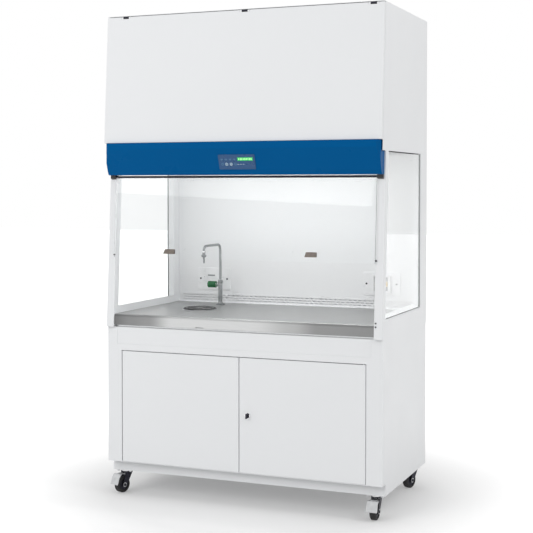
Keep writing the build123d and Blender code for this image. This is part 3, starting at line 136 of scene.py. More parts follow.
def plasticFinish(name, color, rough, pebble=900.0, depth=0.00004):
    cloudScale, sheenScale, pebbleDetail, shade, strength = 14.0, 40.0, 2.0, 0.9, 0.3
    smoother, rougher = 0.05, 0.07
    mat, tree, shader, place = startMaterial(name)
    colorBy(tree, shader, noiseAt(tree, place, cloudScale), shaded(color, shade), color)
    roughBy(tree, shader, noiseAt(tree, place, sheenScale), rough, smoother, rougher)
    relief(tree, shader, noiseAt(tree, place, pebble, pebbleDetail), depth, strength)
    return mat


def clearFinish(name, color):
    smudgeScale, smudge, refraction = 6.0, 0.03, 1.45
    mat, tree, shader, place = startMaterial(name)
    shader.inputs["Base Color"].default_value = (*color, 1)
    shader.inputs["Transmission Weight"].default_value = 1.0
    shader.inputs["IOR"].default_value = refraction
    roughBy(tree, shader, noiseAt(tree, place, smudgeScale), 0.0, 0.0, smudge)
    return mat


def glowFinish(name, color, strength):
    cloudScale, shade, rough = 60.0, 0.85, 0.35
    mat, tree, shader, place = startMaterial(name)
    tone = tint(tree, noiseAt(tree, place, cloudScale), shaded(color, shade), color)
    tree.links.new(tone, shader.inputs["Base Color"])
    tree.links.new(tone, shader.inputs["Emission Color"])
    shader.inputs["Emission Strength"].default_value = strength
    shader.inputs["Roughness"].default_value = rough
    return mat


def granuleFinish(name, dark, light):
    granuleScale, rough, depth, strength = 240.0, 0.75, 0.002, 0.8
    mat, tree, shader, place = startMaterial(name)
    cells = addNode(tree, "ShaderNodeTexVoronoi", {"Scale": granuleScale})
    tree.links.new(place.outputs["Object"], cells.inputs["Vector"])
    colorBy(tree, shader, cells.outputs["Distance"], dark, light)
    shader.inputs["Roughness"].default_value = rough
    relief(tree, shader, cells.outputs["Distance"], depth, strength)
    return mat


def fibreFinish(name, color):
    fibreScale, fibreDetail, shade, rough, depth, strength = 420.0, 6.0, 0.82, 0.95, 0.0008, 0.7
    mat, tree, shader, place = startMaterial(name)
    felt = noiseAt(tree, place, fibreScale, fibreDetail)
    colorBy(tree, shader, felt, shaded(color, shade), color)
    shader.inputs["Roughness"].default_value = rough
    relief(tree, shader, felt, depth, strength)
    return mat


# painted reflection: dark and bright stretches painted along the front lip of the worktop, each at its share
# of the width
lipReflectionPlan = {"halfWidth": 0.632, "facingFrom": -0.2, "facingTo": -0.9,
           "tones": ((0.0, 0.3), (0.07, 0.42), (0.14, 0.48), (0.24, 1.0), (0.55, 1.0), (0.7, 0.72),
                     (0.8, 0.46), (1.0, 0.42))}


def paintLipReflection(mat, plan):
    tree = mat.node_tree
    shader = tree.nodes["Principled BSDF"]
    base = shader.inputs["Base Color"].links[0].from_socket
    place = tree.nodes.new("ShaderNodeTexCoord")
    spot = tree.nodes.new("ShaderNodeSeparateXYZ")
    facing = tree.nodes.new("ShaderNodeSeparateXYZ")
    tree.links.new(place.outputs["Object"], spot.inputs["Vector"])
    tree.links.new(place.outputs["Normal"], facing.inputs["Vector"])
    ends = {"From Min": -plan["halfWidth"], "From Max": plan["halfWidth"]}
    along = addNode(tree, "ShaderNodeMapRange", ends)
    tree.links.new(spot.outputs["X"], along.inputs["Value"])
    ramp = tree.nodes.new("ShaderNodeValToRGB")
    ramp.color_ramp.interpolation = "EASE"
    stops = ramp.color_ramp.elements
    for share, tone in plan["tones"][len(stops):]:
        stops.new(share)
    for stop, (share, tone) in zip(stops, plan["tones"]):
        stop.position = share
        stop.color = (tone, tone, tone, 1)
    tree.links.new(along.outputs["Result"], ramp.inputs["Fac"])
    turns = {"From Min": plan["facingFrom"], "From Max": plan["facingTo"]}
    front = addNode(tree, "ShaderNodeMapRange", turns)
    tree.links.new(facing.outputs["Y"], front.inputs["Value"])
    # the painted reflection darkens the steel's colour only on faces that look forward
    mixed = tree.nodes.new("ShaderNodeMixRGB")
    mixed.blend_type = "MULTIPLY"
    tree.links.new(front.outputs["Result"], mixed.inputs["Fac"])
    tree.links.new(base, mixed.inputs["Color1"])
    tree.links.new(ramp.outputs["Color"], mixed.inputs["Color2"])
    tree.links.new(mixed.outputs["Color"], shader.inputs["Base Color"])


whitePaint = paintFinish("whitePaint", (0.86, 0.872, 0.885), 0.38)
whiteInner = paintFinish("whiteInner", (0.84, 0.85, 0.86), 0.42)
blueMoulding = paintFinish("blueMoulding", (0.0, 0.1, 0.3), 0.3, peel=500.0, depth=0.00005, shade=0.96,
                           gloss=0.04)
brushedTop = metalFinish("brushedTop", (0.53, 0.535, 0.535), 0.36, scale=420.0, contrast=0.1,
                         stretch=(0.04, 1.0, 1.0))
# painted reflection on the worktop's front lip
paintLipReflection(brushedTop, lipReflectionPlan)
zincSteel = metalFinish("zincSteel", (0.66, 0.67, 0.68), 0.36, scale=45.0, contrast=0.18)
satinMetal = metalFinish("satinMetal", (0.3, 0.315, 0.32), 0.3, scale=300.0, contrast=0.12,
                         stretch=(1, 1, 0.2))
sinkBars = metalFinish("sinkBars", (0.5, 0.5, 0.5), 0.35, scale=200.0, contrast=0.15)
brightChrome = metalFinish("brightChrome", (0.75, 0.75, 0.76), 0.12, scale=60.0, contrast=0.05)
pullSteel = metalFinish("pullSteel", (0.34, 0.29, 0.25), 0.38, scale=90.0, contrast=0.3)
bronzeSteel = metalFinish("bronzeSteel", (0.05, 0.05, 0.065), 0.42, scale=90.0, contrast=0.3)
blackMoulding = plasticFinish("blackMoulding", (0.022, 0.022, 0.024), 0.45)
blackRubber = plasticFinish("blackRubber", (0.016, 0.016, 0.017), 0.6, pebble=500.0, depth=0.0001)
greenMoulding = plasticFinish("greenMoulding", (0.004, 0.13, 0.035), 0.22)
greyPvc = plasticFinish("greyPvc", (0.4, 0.41, 0.42), 0.4)
socketWhite = plasticFinish("socketWhite", (0.9, 0.91, 0.92), 0.3)
socketGrey = plasticFinish("socketGrey", (0.3, 0.31, 0.32), 0.35)
filmBlue = plasticFinish("filmBlue", (0.0, 0.062, 0.19), 0.3)
keyPale = plasticFinish("keyPale", (0.42, 0.58, 0.7), 0.3)
markWhite = plasticFinish("markWhite", (0.6, 0.74, 0.82), 0.4)
markDim = plasticFinish("markDim", (0.1, 0.26, 0.42), 0.4)
brassMetal = metalFinish("brassMetal", (0.62, 0.46, 0.2), 0.3, scale=80.0, contrast=0.15)
motorEnamel = paintFinish("motorEnamel", (0.05, 0.06, 0.07), 0.4)
lampDiffuser = glowFinish("lampDiffuser", (0.95, 0.96, 0.93), 0.8)
greenGlow = glowFinish("greenGlow", (0.03, 0.42, 0.12), 0.5)
greenSegment = glowFinish("greenSegment", (0.45, 0.95, 0.35), 0.9)
clearPane = clearFinish("clearPane", (0.985, 0.993, 0.992))
sashGlass = clearFinish("sashGlass", (0.978, 0.986, 0.988))
carbonBed = granuleFinish("carbonBed", (0.015, 0.015, 0.016), (0.06, 0.06, 0.062))
filterPad = fibreFinish("filterPad", (0.78, 0.78, 0.75))
gasketFoam = fibreFinish("gasketFoam", (0.06, 0.06, 0.06))
print("materials ready:", len(bpy.data.materials))

# the finish that each CAD node wears
wornBy = (
    (whitePaint, ("base_frame", "chassis", "base_side_left", "base_side_right", "base_back", "apron_panel",
                  "door_surround", "door_left", "door_right", "post_left", "post_right", "hood_side_left",
                  "hood_side_right", "rear_panel", "head_shell", "front_panel")),
    (whiteInner, ("rear_baffle", "filter_deck")),
    (zincSteel, ("caster_plates", "hood_floor_frame", "fan_deck")),
    (bronzeSteel, ("lock_knob", "screws", "sash_rail", "panel_hinges")),
    (satinMetal, ("tap_body", "tap_spout", "fan_wheel")),
    (blackMoulding, ("sink_cup", "power_inlet", "sash_pivots")),
    (socketWhite, ("socket_plates", "socket_outlets")),
    (keyPale, ("key_fan", "key_lamp")),
    (brushedTop, ("worktop",)),
    (brightChrome, ("lock_barrel",)),
    (sinkBars, ("sink_grate",)),
    (greyPvc, ("drain_pipe",)),
    (greenMoulding, ("tap_handle",)),
    (clearPane, ("side_panes",)),
    (blueMoulding, ("fascia",)),
    (filmBlue, ("control_panel",)),
    (greenGlow, ("display_window",)),
    (sashGlass, ("sash_pane",)),
    (pullSteel, ("sash_pulls",)),
    (filterPad, ("prefilter",)),
    (carbonBed, ("main_filter",)),
    (motorEnamel, ("fan_motor",)),
    (lampDiffuser, ("lamp",)),
    (bronzeSteel, ["caster_fork_" + corner for corner in corners]),
    (blackRubber, ["wheel_" + corner for corner in corners]),
    (zincSteel, ["brake_pedal_" + corner for corner in frontCorners]),
)
for finish, names in wornBy:
    for name in names:
        mesh = nodes[name].data
        mesh.materials.clear()
        mesh.materials.append(finish)
print("nodes dressed:", sum(len(names) for finish, names in wornBy))

# small rounded edges on the sheet-metal and moulded nodes, by their width
edgeAngle = math.radians(50)
edgeWidths = (
    (0.0006, ("worktop",)),
    (0.0012, ("door_left", "door_right")),
    (0.0005, ("post_left", "post_right", "front_panel", "socket_plates", "socket_outlets", "chassis")),
)
for width, names in edgeWidths:
    for name in names:
        edge = nodes[name].modifiers.new("edge", "BEVEL")
        edge.width = width
        edge.segments = 2
        edge.limit_method = "ANGLE"
        edge.angle_limit = edgeAngle

# mesh helpers; in the plans that follow, a pair for a disc is its radius and its length,
# and a row of pairs is a profile for turned
mergeDistance = 0.000002
sharpAngle = math.radians(35)
upright = (0, 0, 1)
downward = (0, 0, -1)
forward = (0, -1, 0)
backward = (0, 1, 0)


def finishPiece(bm, name, body, finish, smooth=False):
    bmesh.ops.remove_doubles(bm, verts=bm.verts, dist=mergeDistance)
    bmesh.ops.recalc_face_normals(bm, faces=bm.faces)
    mesh = bpy.data.meshes.new(name)
    bm.to_mesh(mesh)
    bm.free()
    if smooth:
        mesh.shade_smooth()
        mesh.set_sharp_from_angle(angle=sharpAngle)
    mesh.materials.append(finish)
    obj = bpy.data.objects.new(name, mesh)
    scene.collection.objects.link(obj)
    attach(obj, body)


def addPart(bm, part, turn, center):
    # moves a finished small bmesh into place and joins it to the piece
    bmesh.ops.rotate(part, cent=(0, 0, 0), matrix=turn, verts=part.verts)
    bmesh.ops.translate(part, vec=center, verts=part.verts)
    carry = bpy.data.meshes.new("carry")
    part.to_mesh(carry)
    part.free()
    bm.from_mesh(carry)
    bpy.data.meshes.remove(carry)


def faceAlong(direction):
    return Vector(upright).rotation_difference(Vector(direction)).to_matrix()


def softBox(bm, center, size, radius=0.0, turn=None):
    part = bmesh.new()
    bmesh.ops.create_cube(part, size=1.0)
    bmesh.ops.scale(part, vec=size, verts=part.verts)
    if radius:
        bmesh.ops.bevel(part, geom=part.edges[:], offset=radius, segments=2, profile=0.5, affect="EDGES",
                        material=-1)
    addPart(bm, part, turn or Matrix.Identity(3), center)


def disc(bm, center, direction, radius, length, sides=20, tip=None):
    # a round or many-sided plug that stands on its center, tapered to the tip's radius
    part = bmesh.new()
    bmesh.ops.create_cone(part, cap_ends=True, cap_tris=False, segments=sides, radius1=radius,
                          radius2=radius if tip is None else tip, depth=length)
    bmesh.ops.translate(part, vec=(0, 0, length / 2), verts=part.verts)
    addPart(bm, part, faceAlong(direction), center)


def turned(bm, profile, center, direction, sides=32):
    # (radius, height) pairs spun once round the axis; a profile off the axis is closed into a ring
    part = bmesh.new()
    verts = [part.verts.new((r, 0, h)) for r, h in profile]
    closed = profile[0][0] > 0
    pairs = list(zip(verts, verts[1:])) + ([(verts[-1], verts[0])] if closed else [])
    edges = [part.edges.new(pair) for pair in pairs]
    bmesh.ops.spin(part, geom=verts + edges, cent=(0, 0, 0), axis=upright, angle=math.tau, steps=sides,
                   use_merge=True, use_duplicate=False)
    bmesh.ops.remove_doubles(part, verts=part.verts, dist=mergeDistance)
    bmesh.ops.recalc_face_normals(part, faces=part.faces)
    addPart(bm, part, faceAlong(direction), center)


def flatRing(inner, outer, thick):
    return [(inner, 0), (outer, 0), (outer, thick), (inner, thick)]


def crownedRing(inner, outer, swell, innerHalf, outerHalf):
    # a band round a pipe that swells in its middle
    return [(inner, -innerHalf), (outer, -outerHalf), (outer + swell, 0), (outer, outerHalf),
            (inner, innerHalf)]


def onCircle(radius, angle):
    return Vector((radius * math.cos(angle), radius * math.sin(angle), 0))


# pan head with a thin cross on it; crown, crossLong and crossWide are shares of its radius
screwShape = {"height": 0.0016, "sides": 16, "crown": 0.72, "crossLong": 1.1, "crossWide": 0.26,
              "crossThick": 0.0001, "crossLift": 0.00004}


def screwHead(bm, center, direction, radius):
    plan = screwShape
    outward = Vector(direction).normalized()
    half = plan["height"] * 0.5
    disc(bm, center, direction, radius, half, sides=plan["sides"])
    middle = Vector(center) + outward * half
    disc(bm, middle, direction, radius, half, sides=plan["sides"], tip=radius * plan["crown"])
    long, wide, thick = radius * plan["crossLong"], radius * plan["crossWide"], plan["crossThick"]
    crossAt = Vector(center) + outward * (plan["height"] + plan["crossLift"])
    for size in ((long, wide, thick), (wide, long, thick)):
        softBox(bm, crossAt, size, turn=faceAlong(direction))


# floor and world: light that falls on the hood is weaker than what the camera sees of them
floorPlan = {"size": 60.0, "tone": 0.72, "rough": 0.9}
# painted light on the floor: its glow runs from low near the hood to high far away
glowPlan = {"From Min": 0.75, "From Max": 1.9, "To Min": 0.2, "To Max": 0.9}
worldLevel = 0.68
lampPlans = {
    "keyLight": {"place": (-2.6, -5.6, 3.6), "target": (0, 0, 1.2), "size": (3.2, 3.2), "power": 110.0},
    "fillLight": {"place": (4.2, -1.2, 4.2), "target": (0.4, 0, 1.9), "size": (2.2, 2.2), "power": 46.0},
    "chamberLight": {"place": (0, -0.12, 1.595), "target": (0, 0.02, 0.9), "size": (1.05, 0.08),
                     "power": 2.9},
}
# the only lamp that shows in mirrors and panes
mirroredLamps = ("chamberLight",)
lensPlan = {"place": (2.1105, -5.1876, 1.4428), "down": 1.5, "turn": 22.2, "lens": 79.96, "shiftY": -0.0906,
            "sensor": 36.0, "reach": 100.0}


def seenDirectly(tree):
    # 1 where the camera looks, straight or by a mirror or a pane, and 0 for the light that is cast
    path = tree.nodes.new("ShaderNodeLightPath")
    seen = path.outputs["Is Camera Ray"]
    for kind in ("Is Glossy Ray", "Is Transmission Ray"):
        either = tree.nodes.new("ShaderNodeMath")
        either.operation = "MAXIMUM"
        tree.links.new(seen, either.inputs[0])
        tree.links.new(path.outputs[kind], either.inputs[1])
        seen = either.outputs[0]
    return seen


def makeFloor(plan):
    bm = bmesh.new()
    bmesh.ops.create_grid(bm, x_segments=1, y_segments=1, size=plan["size"] / 2)
    mesh = bpy.data.meshes.new("studioFloor")
    bm.to_mesh(mesh)
    bm.free()
    floor = bpy.data.objects.new("studioFloor", mesh)
    scene.collection.objects.link(floor)
    mat, tree, shader, place = startMaterial("studioPaper")
    shader.inputs["Base Color"].default_value = (plan["tone"],) * 3 + (1,)
    shader.inputs["Roughness"].default_value = plan["rough"]
    shader.inputs["Specular IOR Level"].default_value = 0.0
    shader.inputs["Emission Color"].default_value = (1, 1, 1, 1)
    # painted light: seen directly, the paper glows more with its distance from the hood, so it reads darker
    # near the hood
    reach = tree.nodes.new("ShaderNodeVectorMath")
    reach.operation = "LENGTH"
    fade = addNode(tree, "ShaderNodeMapRange", glowPlan)
    level = tree.nodes.new("ShaderNodeMath")
    level.operation = "MULTIPLY"
    tree.links.new(place.outputs["Object"], reach.inputs[0])
    tree.links.new(reach.outputs["Value"], fade.inputs["Value"])
    tree.links.new(seenDirectly(tree), level.inputs[0])
    tree.links.new(fade.outputs["Result"], level.inputs[1])
    tree.links.new(level.outputs[0], shader.inputs["Emission Strength"])
    mesh.materials.append(mat)


def makeWorld(dimLevel):
    world = bpy.data.worlds.new("studio")
    world.use_nodes = True
    scene.world = world
    tree = world.node_tree
    back = tree.nodes["Background"]
    back.inputs["Color"].default_value = (1, 1, 1, 1)
    level = addNode(tree, "ShaderNodeMapRange", {"To Min": dimLevel, "To Max": 1.0})
    tree.links.new(seenDirectly(tree), level.inputs["Value"])
    tree.links.new(level.outputs["Result"], back.inputs["Strength"])


def makeLamps(plans):
    for name, plan in plans.items():
        lamp = bpy.data.lights.new(name, "AREA")
        lamp.shape = "RECTANGLE"
        lamp.size, lamp.size_y = plan["size"]
        lamp.energy = plan["power"]
        obj = bpy.data.objects.new(name, lamp)
        obj.location = plan["place"]
        aim = Vector(plan["target"]) - Vector(plan["place"])
        obj.rotation_euler = aim.to_track_quat("-Z", "Y").to_euler()
        obj.visible_camera = False
        obj.visible_glossy = name in mirroredLamps
        scene.collection.objects.link(obj)


def makeCamera(plan):
    camera = bpy.data.cameras.new("photoCamera")
    camera.lens = plan["lens"]
    camera.sensor_width = plan["sensor"]
    camera.shift_y = plan["shiftY"]
    camera.clip_end = plan["reach"]
    obj = bpy.data.objects.new("photoCamera", camera)
    obj.location = plan["place"]
    obj.rotation_euler = (math.radians(90 - plan["down"]), 0, math.radians(plan["turn"]))
    scene.collection.objects.link(obj)
    scene.camera = obj


makeFloor(floorPlan)
makeWorld(worldLevel)
makeLamps(lampPlans)
makeCamera(lensPlan)
scene.view_settings.view_transform = "Standard"
print("stage, lights and camera placed")

# control panel: film marks, key signs and a small read-out, all laid on its slanted face
panelSlant = math.radians(18)
panelUp = Vector((0, -math.sin(panelSlant), math.cos(panelSlant)))
panelOut = Vector((0, -math.cos(panelSlant), -math.sin(panelSlant)))
panelTurn = Matrix((Vector((1, 0, 0)), panelUp, panelOut)).transposed()
panelInset = 0.001
panelLow, panelHigh = (Vector(c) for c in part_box("control_panel"))
panelMid = (panelLow + panelHigh) / 2 - panelOut * panelInset
filmLift, filmThick = 0.0021, 0.0002
keyRow = -0.010
keyPlaces = {"key_fan": -0.050, "key_lamp": -0.028}
keyBodies = {"key_fan": "fan_key", "key_lamp": "lamp_key"}


def onPanel(x, up, lift):
    return panelMid + Vector((x, 0, 0)) + panelUp * up + panelOut * lift


def panelBar(bm, x, up, lift, width, height, spin=0.0):
    turn = panelTurn @ Matrix.Rotation(spin, 3, "Z")
    softBox(bm, onPanel(x, up, lift), (width, height, filmThick), turn=turn)


# four marks of two lines each over the keys; in the key row an arrow in a ring at both ends, a ring
# round each key, and three dashes beside them
filmPlan = {"topRow": (-0.0718, -0.0514, -0.031, -0.011), "topHeight": 0.0131, "topBar": (0.011, 0.0022),
            "underDrop": 0.0042, "underBar": (0.007, 0.0014), "arrows": ((-0.070, 1), (-0.007, -1)),
            "arrowHalf": 0.0022, "arrowLength": 0.0064, "arrowTurn": -45, "line": 0.0009, "ring": 0.0052,
            "keyRing": (0.0066, 0.0074), "ringSunk": 0.0001, "firstDash": 0.0058, "dashPitch": 0.0125,
            "dashCount": 3, "dashHeight": -0.011, "dash": (0.0085, 0.0014)}


def makeFilmMarks(plan):
    bright, dim = bmesh.new(), bmesh.new()
    for x in plan["topRow"]:
        panelBar(dim, x, plan["topHeight"], filmLift, *plan["topBar"])
        panelBar(dim, x, plan["topHeight"] - plan["underDrop"], filmLift, *plan["underBar"])
    ringLift = filmLift - plan["ringSunk"]
    line = plan["line"]
    for x, flip in plan["arrows"]:
        for side in (-1, 1):
            lean = side * flip * math.radians(plan["arrowTurn"])
            panelBar(dim, x + side * plan["arrowHalf"], keyRow, filmLift, plan["arrowLength"], line, lean)
        ring = flatRing(plan["ring"], plan["ring"] + line, filmThick)
        turned(dim, ring, onPanel(x, keyRow, ringLift), panelOut, sides=24)
    keyRing = flatRing(*plan["keyRing"], filmThick)
    for x in keyPlaces.values():
        turned(bright, keyRing, onPanel(x, keyRow, ringLift), panelOut, sides=28)
    for k in range(plan["dashCount"]):
        x = plan["firstDash"] + plan["dashPitch"] * k
        panelBar(bright, x, plan["dashHeight"], filmLift, *plan["dash"])
    finishPiece(bright, "panel_marks_bright", "cabinet", markWhite)
    finishPiece(dim, "panel_marks_dim", "cabinet", markDim)


# a four-bladed fan on one key and a bulb with eight rays on the other
signPlan = {"top": 0.0033, "thick": 0.00015, "middle": 0.00007, "fanHub": 0.0009, "bulb": (0.0014, 0.002),
            "key_fan": {"count": 4, "start": 0.4, "reach": (0.0022, 0.0005), "size": (0.0026, 0.0015)},
            "key_lamp": {"count": 8, "start": 0.0, "reach": (0.0034, 0), "size": (0.0014, 0.0005)}}


def makeKeySigns(plan):
    thick = plan["thick"]
    for node, body in keyBodies.items():
        sign = bmesh.new()
        top = onPanel(keyPlaces[node], keyRow, plan["top"])
        if node == "key_fan":
            disc(sign, top, panelOut, plan["fanHub"], thick, sides=12)
        else:
            turned(sign, flatRing(*plan["bulb"], thick), top, panelOut, sides=20)
        rays = plan[node]
        for k in range(rays["count"]):
            turn = panelTurn @ Matrix.Rotation(k * math.tau / rays["count"] + rays["start"], 3, "Z")
            spot = top + turn @ Vector((*rays["reach"], plan["middle"]))
            softBox(sign, spot, (*rays["size"], thick), turn=turn)
        finishPiece(sign, node + "_sign", body, filmBlue)


# nine bars of two heights, and a thin border round the window
displayPlan = {"place": (0.041, 0.013), "barCount": 9, "firstBar": -0.030, "barPitch": 0.0074,
               "barWidth": 0.0034, "tall": 0.0085, "short": 0.006, "barLift": 0.0016,
               "border": (0.0766, 0.018), "borderLine": 0.0008, "borderReach": (0.0382, 0.0086)}


def makeDisplay(plan):
    bars, border = bmesh.new(), bmesh.new()
    cx, cy = plan["place"]
    for k in range(plan["barCount"]):
        height = plan["tall"] if k % 3 else plan["short"]
        x = cx + plan["firstBar"] + plan["barPitch"] * k
        panelBar(bars, x, cy, plan["barLift"], plan["barWidth"], height)
    finishPiece(bars, "display_bars", "cabinet", greenSegment)
    width, height = plan["border"]
    reachX, reachUp = plan["borderReach"]
    line = plan["borderLine"]
    for side in (-1, 1):
        panelBar(border, cx, cy + side * reachUp, filmLift, width, line)
        panelBar(border, cx + side * reachX, cy, filmLift, line, height)
    finishPiece(border, "display_border", "cabinet", filmBlue)


makeFilmMarks(filmPlan)
makeKeySigns(signPlan)
makeDisplay(displayPlan)
print("control panel marked")

# wall sockets: on the left two rockers, a round well and two bars, on the right three modules with slots
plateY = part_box("socket_plates")[0][1]
socketPlan = {"left": -0.432, "right": 0.460, "height": 0.974,
              "rockerShift": 0.052, "rocker": (0.016, 0.0045, 0.026), "rockerOut": 0.0015,
              "rockerEdge": 0.0012,
              "tick": (0.006, 0.0006, 0.0016), "tickOut": 0.0042, "tickUp": 0.009,
              "well": ((0.0185, 0), (0.0215, 0), (0.0205, 0.0012), (0.0195, 0.0012)), "wellOut": 0.001,
              "barShift": -0.013, "barOut": 0.0022, "barUp": 0.017, "barEdge": 0.0004,
              "topBar": (0.040, 0.0012, 0.007), "lowBar": (0.040, 0.0012, 0.005),
              "moduleOut": 0.0032, "moduleUp": 0.024, "module": (0.060, 0.004, 0.020), "moduleEdge": 0.001,
              "shutter": (0.060, 0.004, 0.024), "shutterOut": 0.0002,
              "slotPitch": 0.012, "slotOut": 0.0024, "slotUp": 0.003, "slot": (0.0028, 0.0006, 0.008)}


def makeSocketDetail(plan):
    white, grey, brass, dark = bmesh.new(), bmesh.new(), bmesh.new(), bmesh.new()
    left, right, z = plan["left"], plan["right"], plan["height"]
    for side in (-1, 1):
        x = left + side * plan["rockerShift"]
        softBox(white, (x, plateY - plan["rockerOut"], z), plan["rocker"], plan["rockerEdge"])
        softBox(grey, (x, plateY - plan["tickOut"], z + plan["tickUp"]), plan["tick"])
    turned(white, plan["well"], (left, plateY - plan["wellOut"], z), forward, sides=36)
    for side, size in ((1, plan["topBar"]), (-1, plan["lowBar"])):
        spot = (left + plan["barShift"], plateY - plan["barOut"], z + side * plan["barUp"])
        softBox(grey, spot, size, plan["barEdge"])
    faceY = plateY - plan["moduleOut"]
    for side in (1, -1):
        softBox(grey, (right, faceY, z + side * plan["moduleUp"]), plan["module"], plan["moduleEdge"])
    softBox(brass, (right, faceY - plan["shutterOut"], z), plan["shutter"], plan["moduleEdge"])
    for k in (-1, 0, 1):
        up = plan["slotUp"] if k == 0 else -plan["slotUp"]
        softBox(dark, (right + plan["slotPitch"] * k, faceY - plan["slotOut"], z + up), plan["slot"])
    finishPiece(white, "socket_rockers", "cabinet", socketWhite, smooth=True)
    finishPiece(grey, "socket_inserts", "cabinet", socketGrey)
    finishPiece(brass, "socket_shutter", "cabinet", brassMetal)
    finishPiece(dark, "socket_slots", "cabinet", blackMoulding)


makeSocketDetail(socketPlan)
print("sockets dressed")

# screws of the sheet-metal shells: outer rear panel, cabinet back and the wall of the chamber
baffleFold = 0.011
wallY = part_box("rear_baffle")[0][1] + baffleFold
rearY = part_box("rear_panel")[1][1]
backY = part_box("base_back")[1][1]
screwPlan = {"radius": 0.0035, "rearX": (-0.64, -0.32, 0.0, 0.32, 0.64), "rearZ": (0.83, 1.3, 1.78, 2.21),
             "edgeFrom": 0.5, "backX": (-0.64, 0.0, 0.64), "backZ": (0.13, 0.45, 0.77),
             "wallRadius": 0.003, "wallX": (-0.6, -0.3, 0.0, 0.3, 0.6), "wallZ": (1.57, 1.12)}


def makeScrews(plan):
    bm = bmesh.new()
    endRows = (plan["rearZ"][0], plan["rearZ"][-1])
    for x in plan["rearX"]:
        for z in plan["rearZ"]:
            if abs(x) > plan["edgeFrom"] or z in endRows:
                screwHead(bm, (x, rearY, z), backward, plan["radius"])
    for x in plan["backX"]:
        for z in plan["backZ"]:
            screwHead(bm, (x, backY, z), backward, plan["radius"])
    for x in plan["wallX"]:
        for z in plan["wallZ"]:
            screwHead(bm, (x, wallY, z), forward, plan["wallRadius"])
    finishPiece(bm, "shell_screws", "cabinet", zincSteel)


makeScrews(screwPlan)

# folded hem along the foot of the head's sides, and the glazing strips round the side panes
# each strip has its middle and its length along y and z
trimPlan = {"sideX": 0.670, "hemLow": 1.6, "hemHigh": 1.629, "hemProud": 0.0007, "hemMid": 0.036,
            "hemLength": 0.686, "hemEdge": 0.0002, "paneX": 0.6648, "stripDepth": 0.0016, "stripEdge": 0.0004,
            "strips": (((-0.015, 0.8745), (0.53, 0.005)), ((0.2662, 1.236), (0.004, 0.722)),
                       ((-0.004, 1.5975), (0.50, 0.004)))}


def makeTrim(plan):
    hem, strips = bmesh.new(), bmesh.new()
    low, high, proud = plan["hemLow"], plan["hemHigh"], plan["hemProud"]
    for side in (-1, 1):
        softBox(hem, (side * (plan["sideX"] + proud / 2), plan["hemMid"], (low + high) / 2),
                (proud, plan["hemLength"], high - low), plan["hemEdge"])
        for middle, length in plan["strips"]:
            softBox(strips, (side * plan["paneX"], *middle), (plan["stripDepth"], *length), plan["stripEdge"])
    finishPiece(hem, "head_hem", "cabinet", whitePaint)
    finishPiece(strips, "pane_glazing", "cabinet", gasketFoam)


makeTrim(trimPlan)
print("shell trim placed")

# casters: plate bolts, race rings, hub caps, tread lines, washers and pedal ribs
casterPlan = {"kingX": 0.618, "frontY": -0.257, "rearY": 0.338, "axleHeight": 0.0375, "trail": 0.030,
              "heads": {"fl": 250, "fr": 270, "rl": 250, "rr": 250},
              "boltX": 0.032, "boltY": 0.023, "plateFoot": 0.105, "boltWasher": (0.0085, 0.0012),
              "boltHead": (0.0062, 0.0045), "raceTop": 0.1028,
              "race": ((0.0235, 0), (0.0262, 0), (0.0268, -0.003), (0.0245, -0.0042))}
wheelPlan = {"hubOut": 0.0108,
             "hub": ((0.0045, 0), (0.0225, 0), (0.0235, 0.0006), (0.0235, 0.0012), (0.012, 0.0028),
                     (0.0045, 0.0028)),
             "treadShifts": (-0.0055, 0, 0.0055),
             "tread": ((0.0368, -0.0006), (0.03765, -0.0004), (0.03765, 0.0004), (0.0368, 0.0006)),
             "washerOut": 0.0196, "washer": (0.0105, 0.0008), "kingNutTop": 0.0898, "kingNut": (0.008, 0.003)}
pedalPlan = {"reach": 0.073, "step": 0.0016, "top": 0.0715, "drop": 0.0052, "count": 4, "tilt": 75,
             "rib": (0.0012, 0.040, 0.0012), "edge": 0.0003}


def makePlateBolts(bolts, rings, king, plan):
    washerRadius, washerLength = plan["boltWasher"]
    for dx in (-plan["boltX"], plan["boltX"]):
        for dy in (-plan["boltY"], plan["boltY"]):
            spot = king + Vector((dx, dy, plan["plateFoot"]))
            disc(bolts, spot, downward, washerRadius, washerLength)
            disc(bolts, spot - Vector((0, 0, washerLength)), downward, *plan["boltHead"], sides=6)
    turned(rings, plan["race"], king + Vector((0, 0, plan["raceTop"])), upright)


def makeWheelDetail(corner, king, axle, across, plan):
    hub, tread, nuts = bmesh.new(), bmesh.new(), bmesh.new()
    for side in (-1, 1):
        turned(hub, plan["hub"], axle + across * side * plan["hubOut"], across * side)
    finishPiece(hub, "wheel_hub_" + corner, "roller_" + corner, bronzeSteel, smooth=True)
    for shift in plan["treadShifts"]:
        turned(tread, plan["tread"], axle + across * shift, across, sides=48)
    finishPiece(tread, "wheel_tread_" + corner, "roller_" + corner, blackRubber, smooth=True)
    for side in (-1, 1):
        disc(nuts, axle + across * side * plan["washerOut"], across * side, *plan["washer"], sides=24)
    disc(nuts, king + Vector((0, 0, plan["kingNutTop"])), downward, *plan["kingNut"], sides=6)
    finishPiece(nuts, "fork_washers_" + corner, "caster_" + corner, zincSteel)


def makePedalRibs(corner, king, along, across, plan):
    ribs = bmesh.new()
    turn = Matrix((along, -across, Vector(upright))).transposed()
    tilt = turn @ Matrix.Rotation(math.radians(plan["tilt"]), 3, "Y")
    for k in range(plan["count"]):
        out = plan["reach"] + plan["step"] * k
        spot = king + along * out + Vector((0, 0, plan["top"] - plan["drop"] * k))
        softBox(ribs, spot, plan["rib"], plan["edge"], tilt)
    finishPiece(ribs, "pedal_ribs_" + corner, "pedal_" + corner, zincSteel)


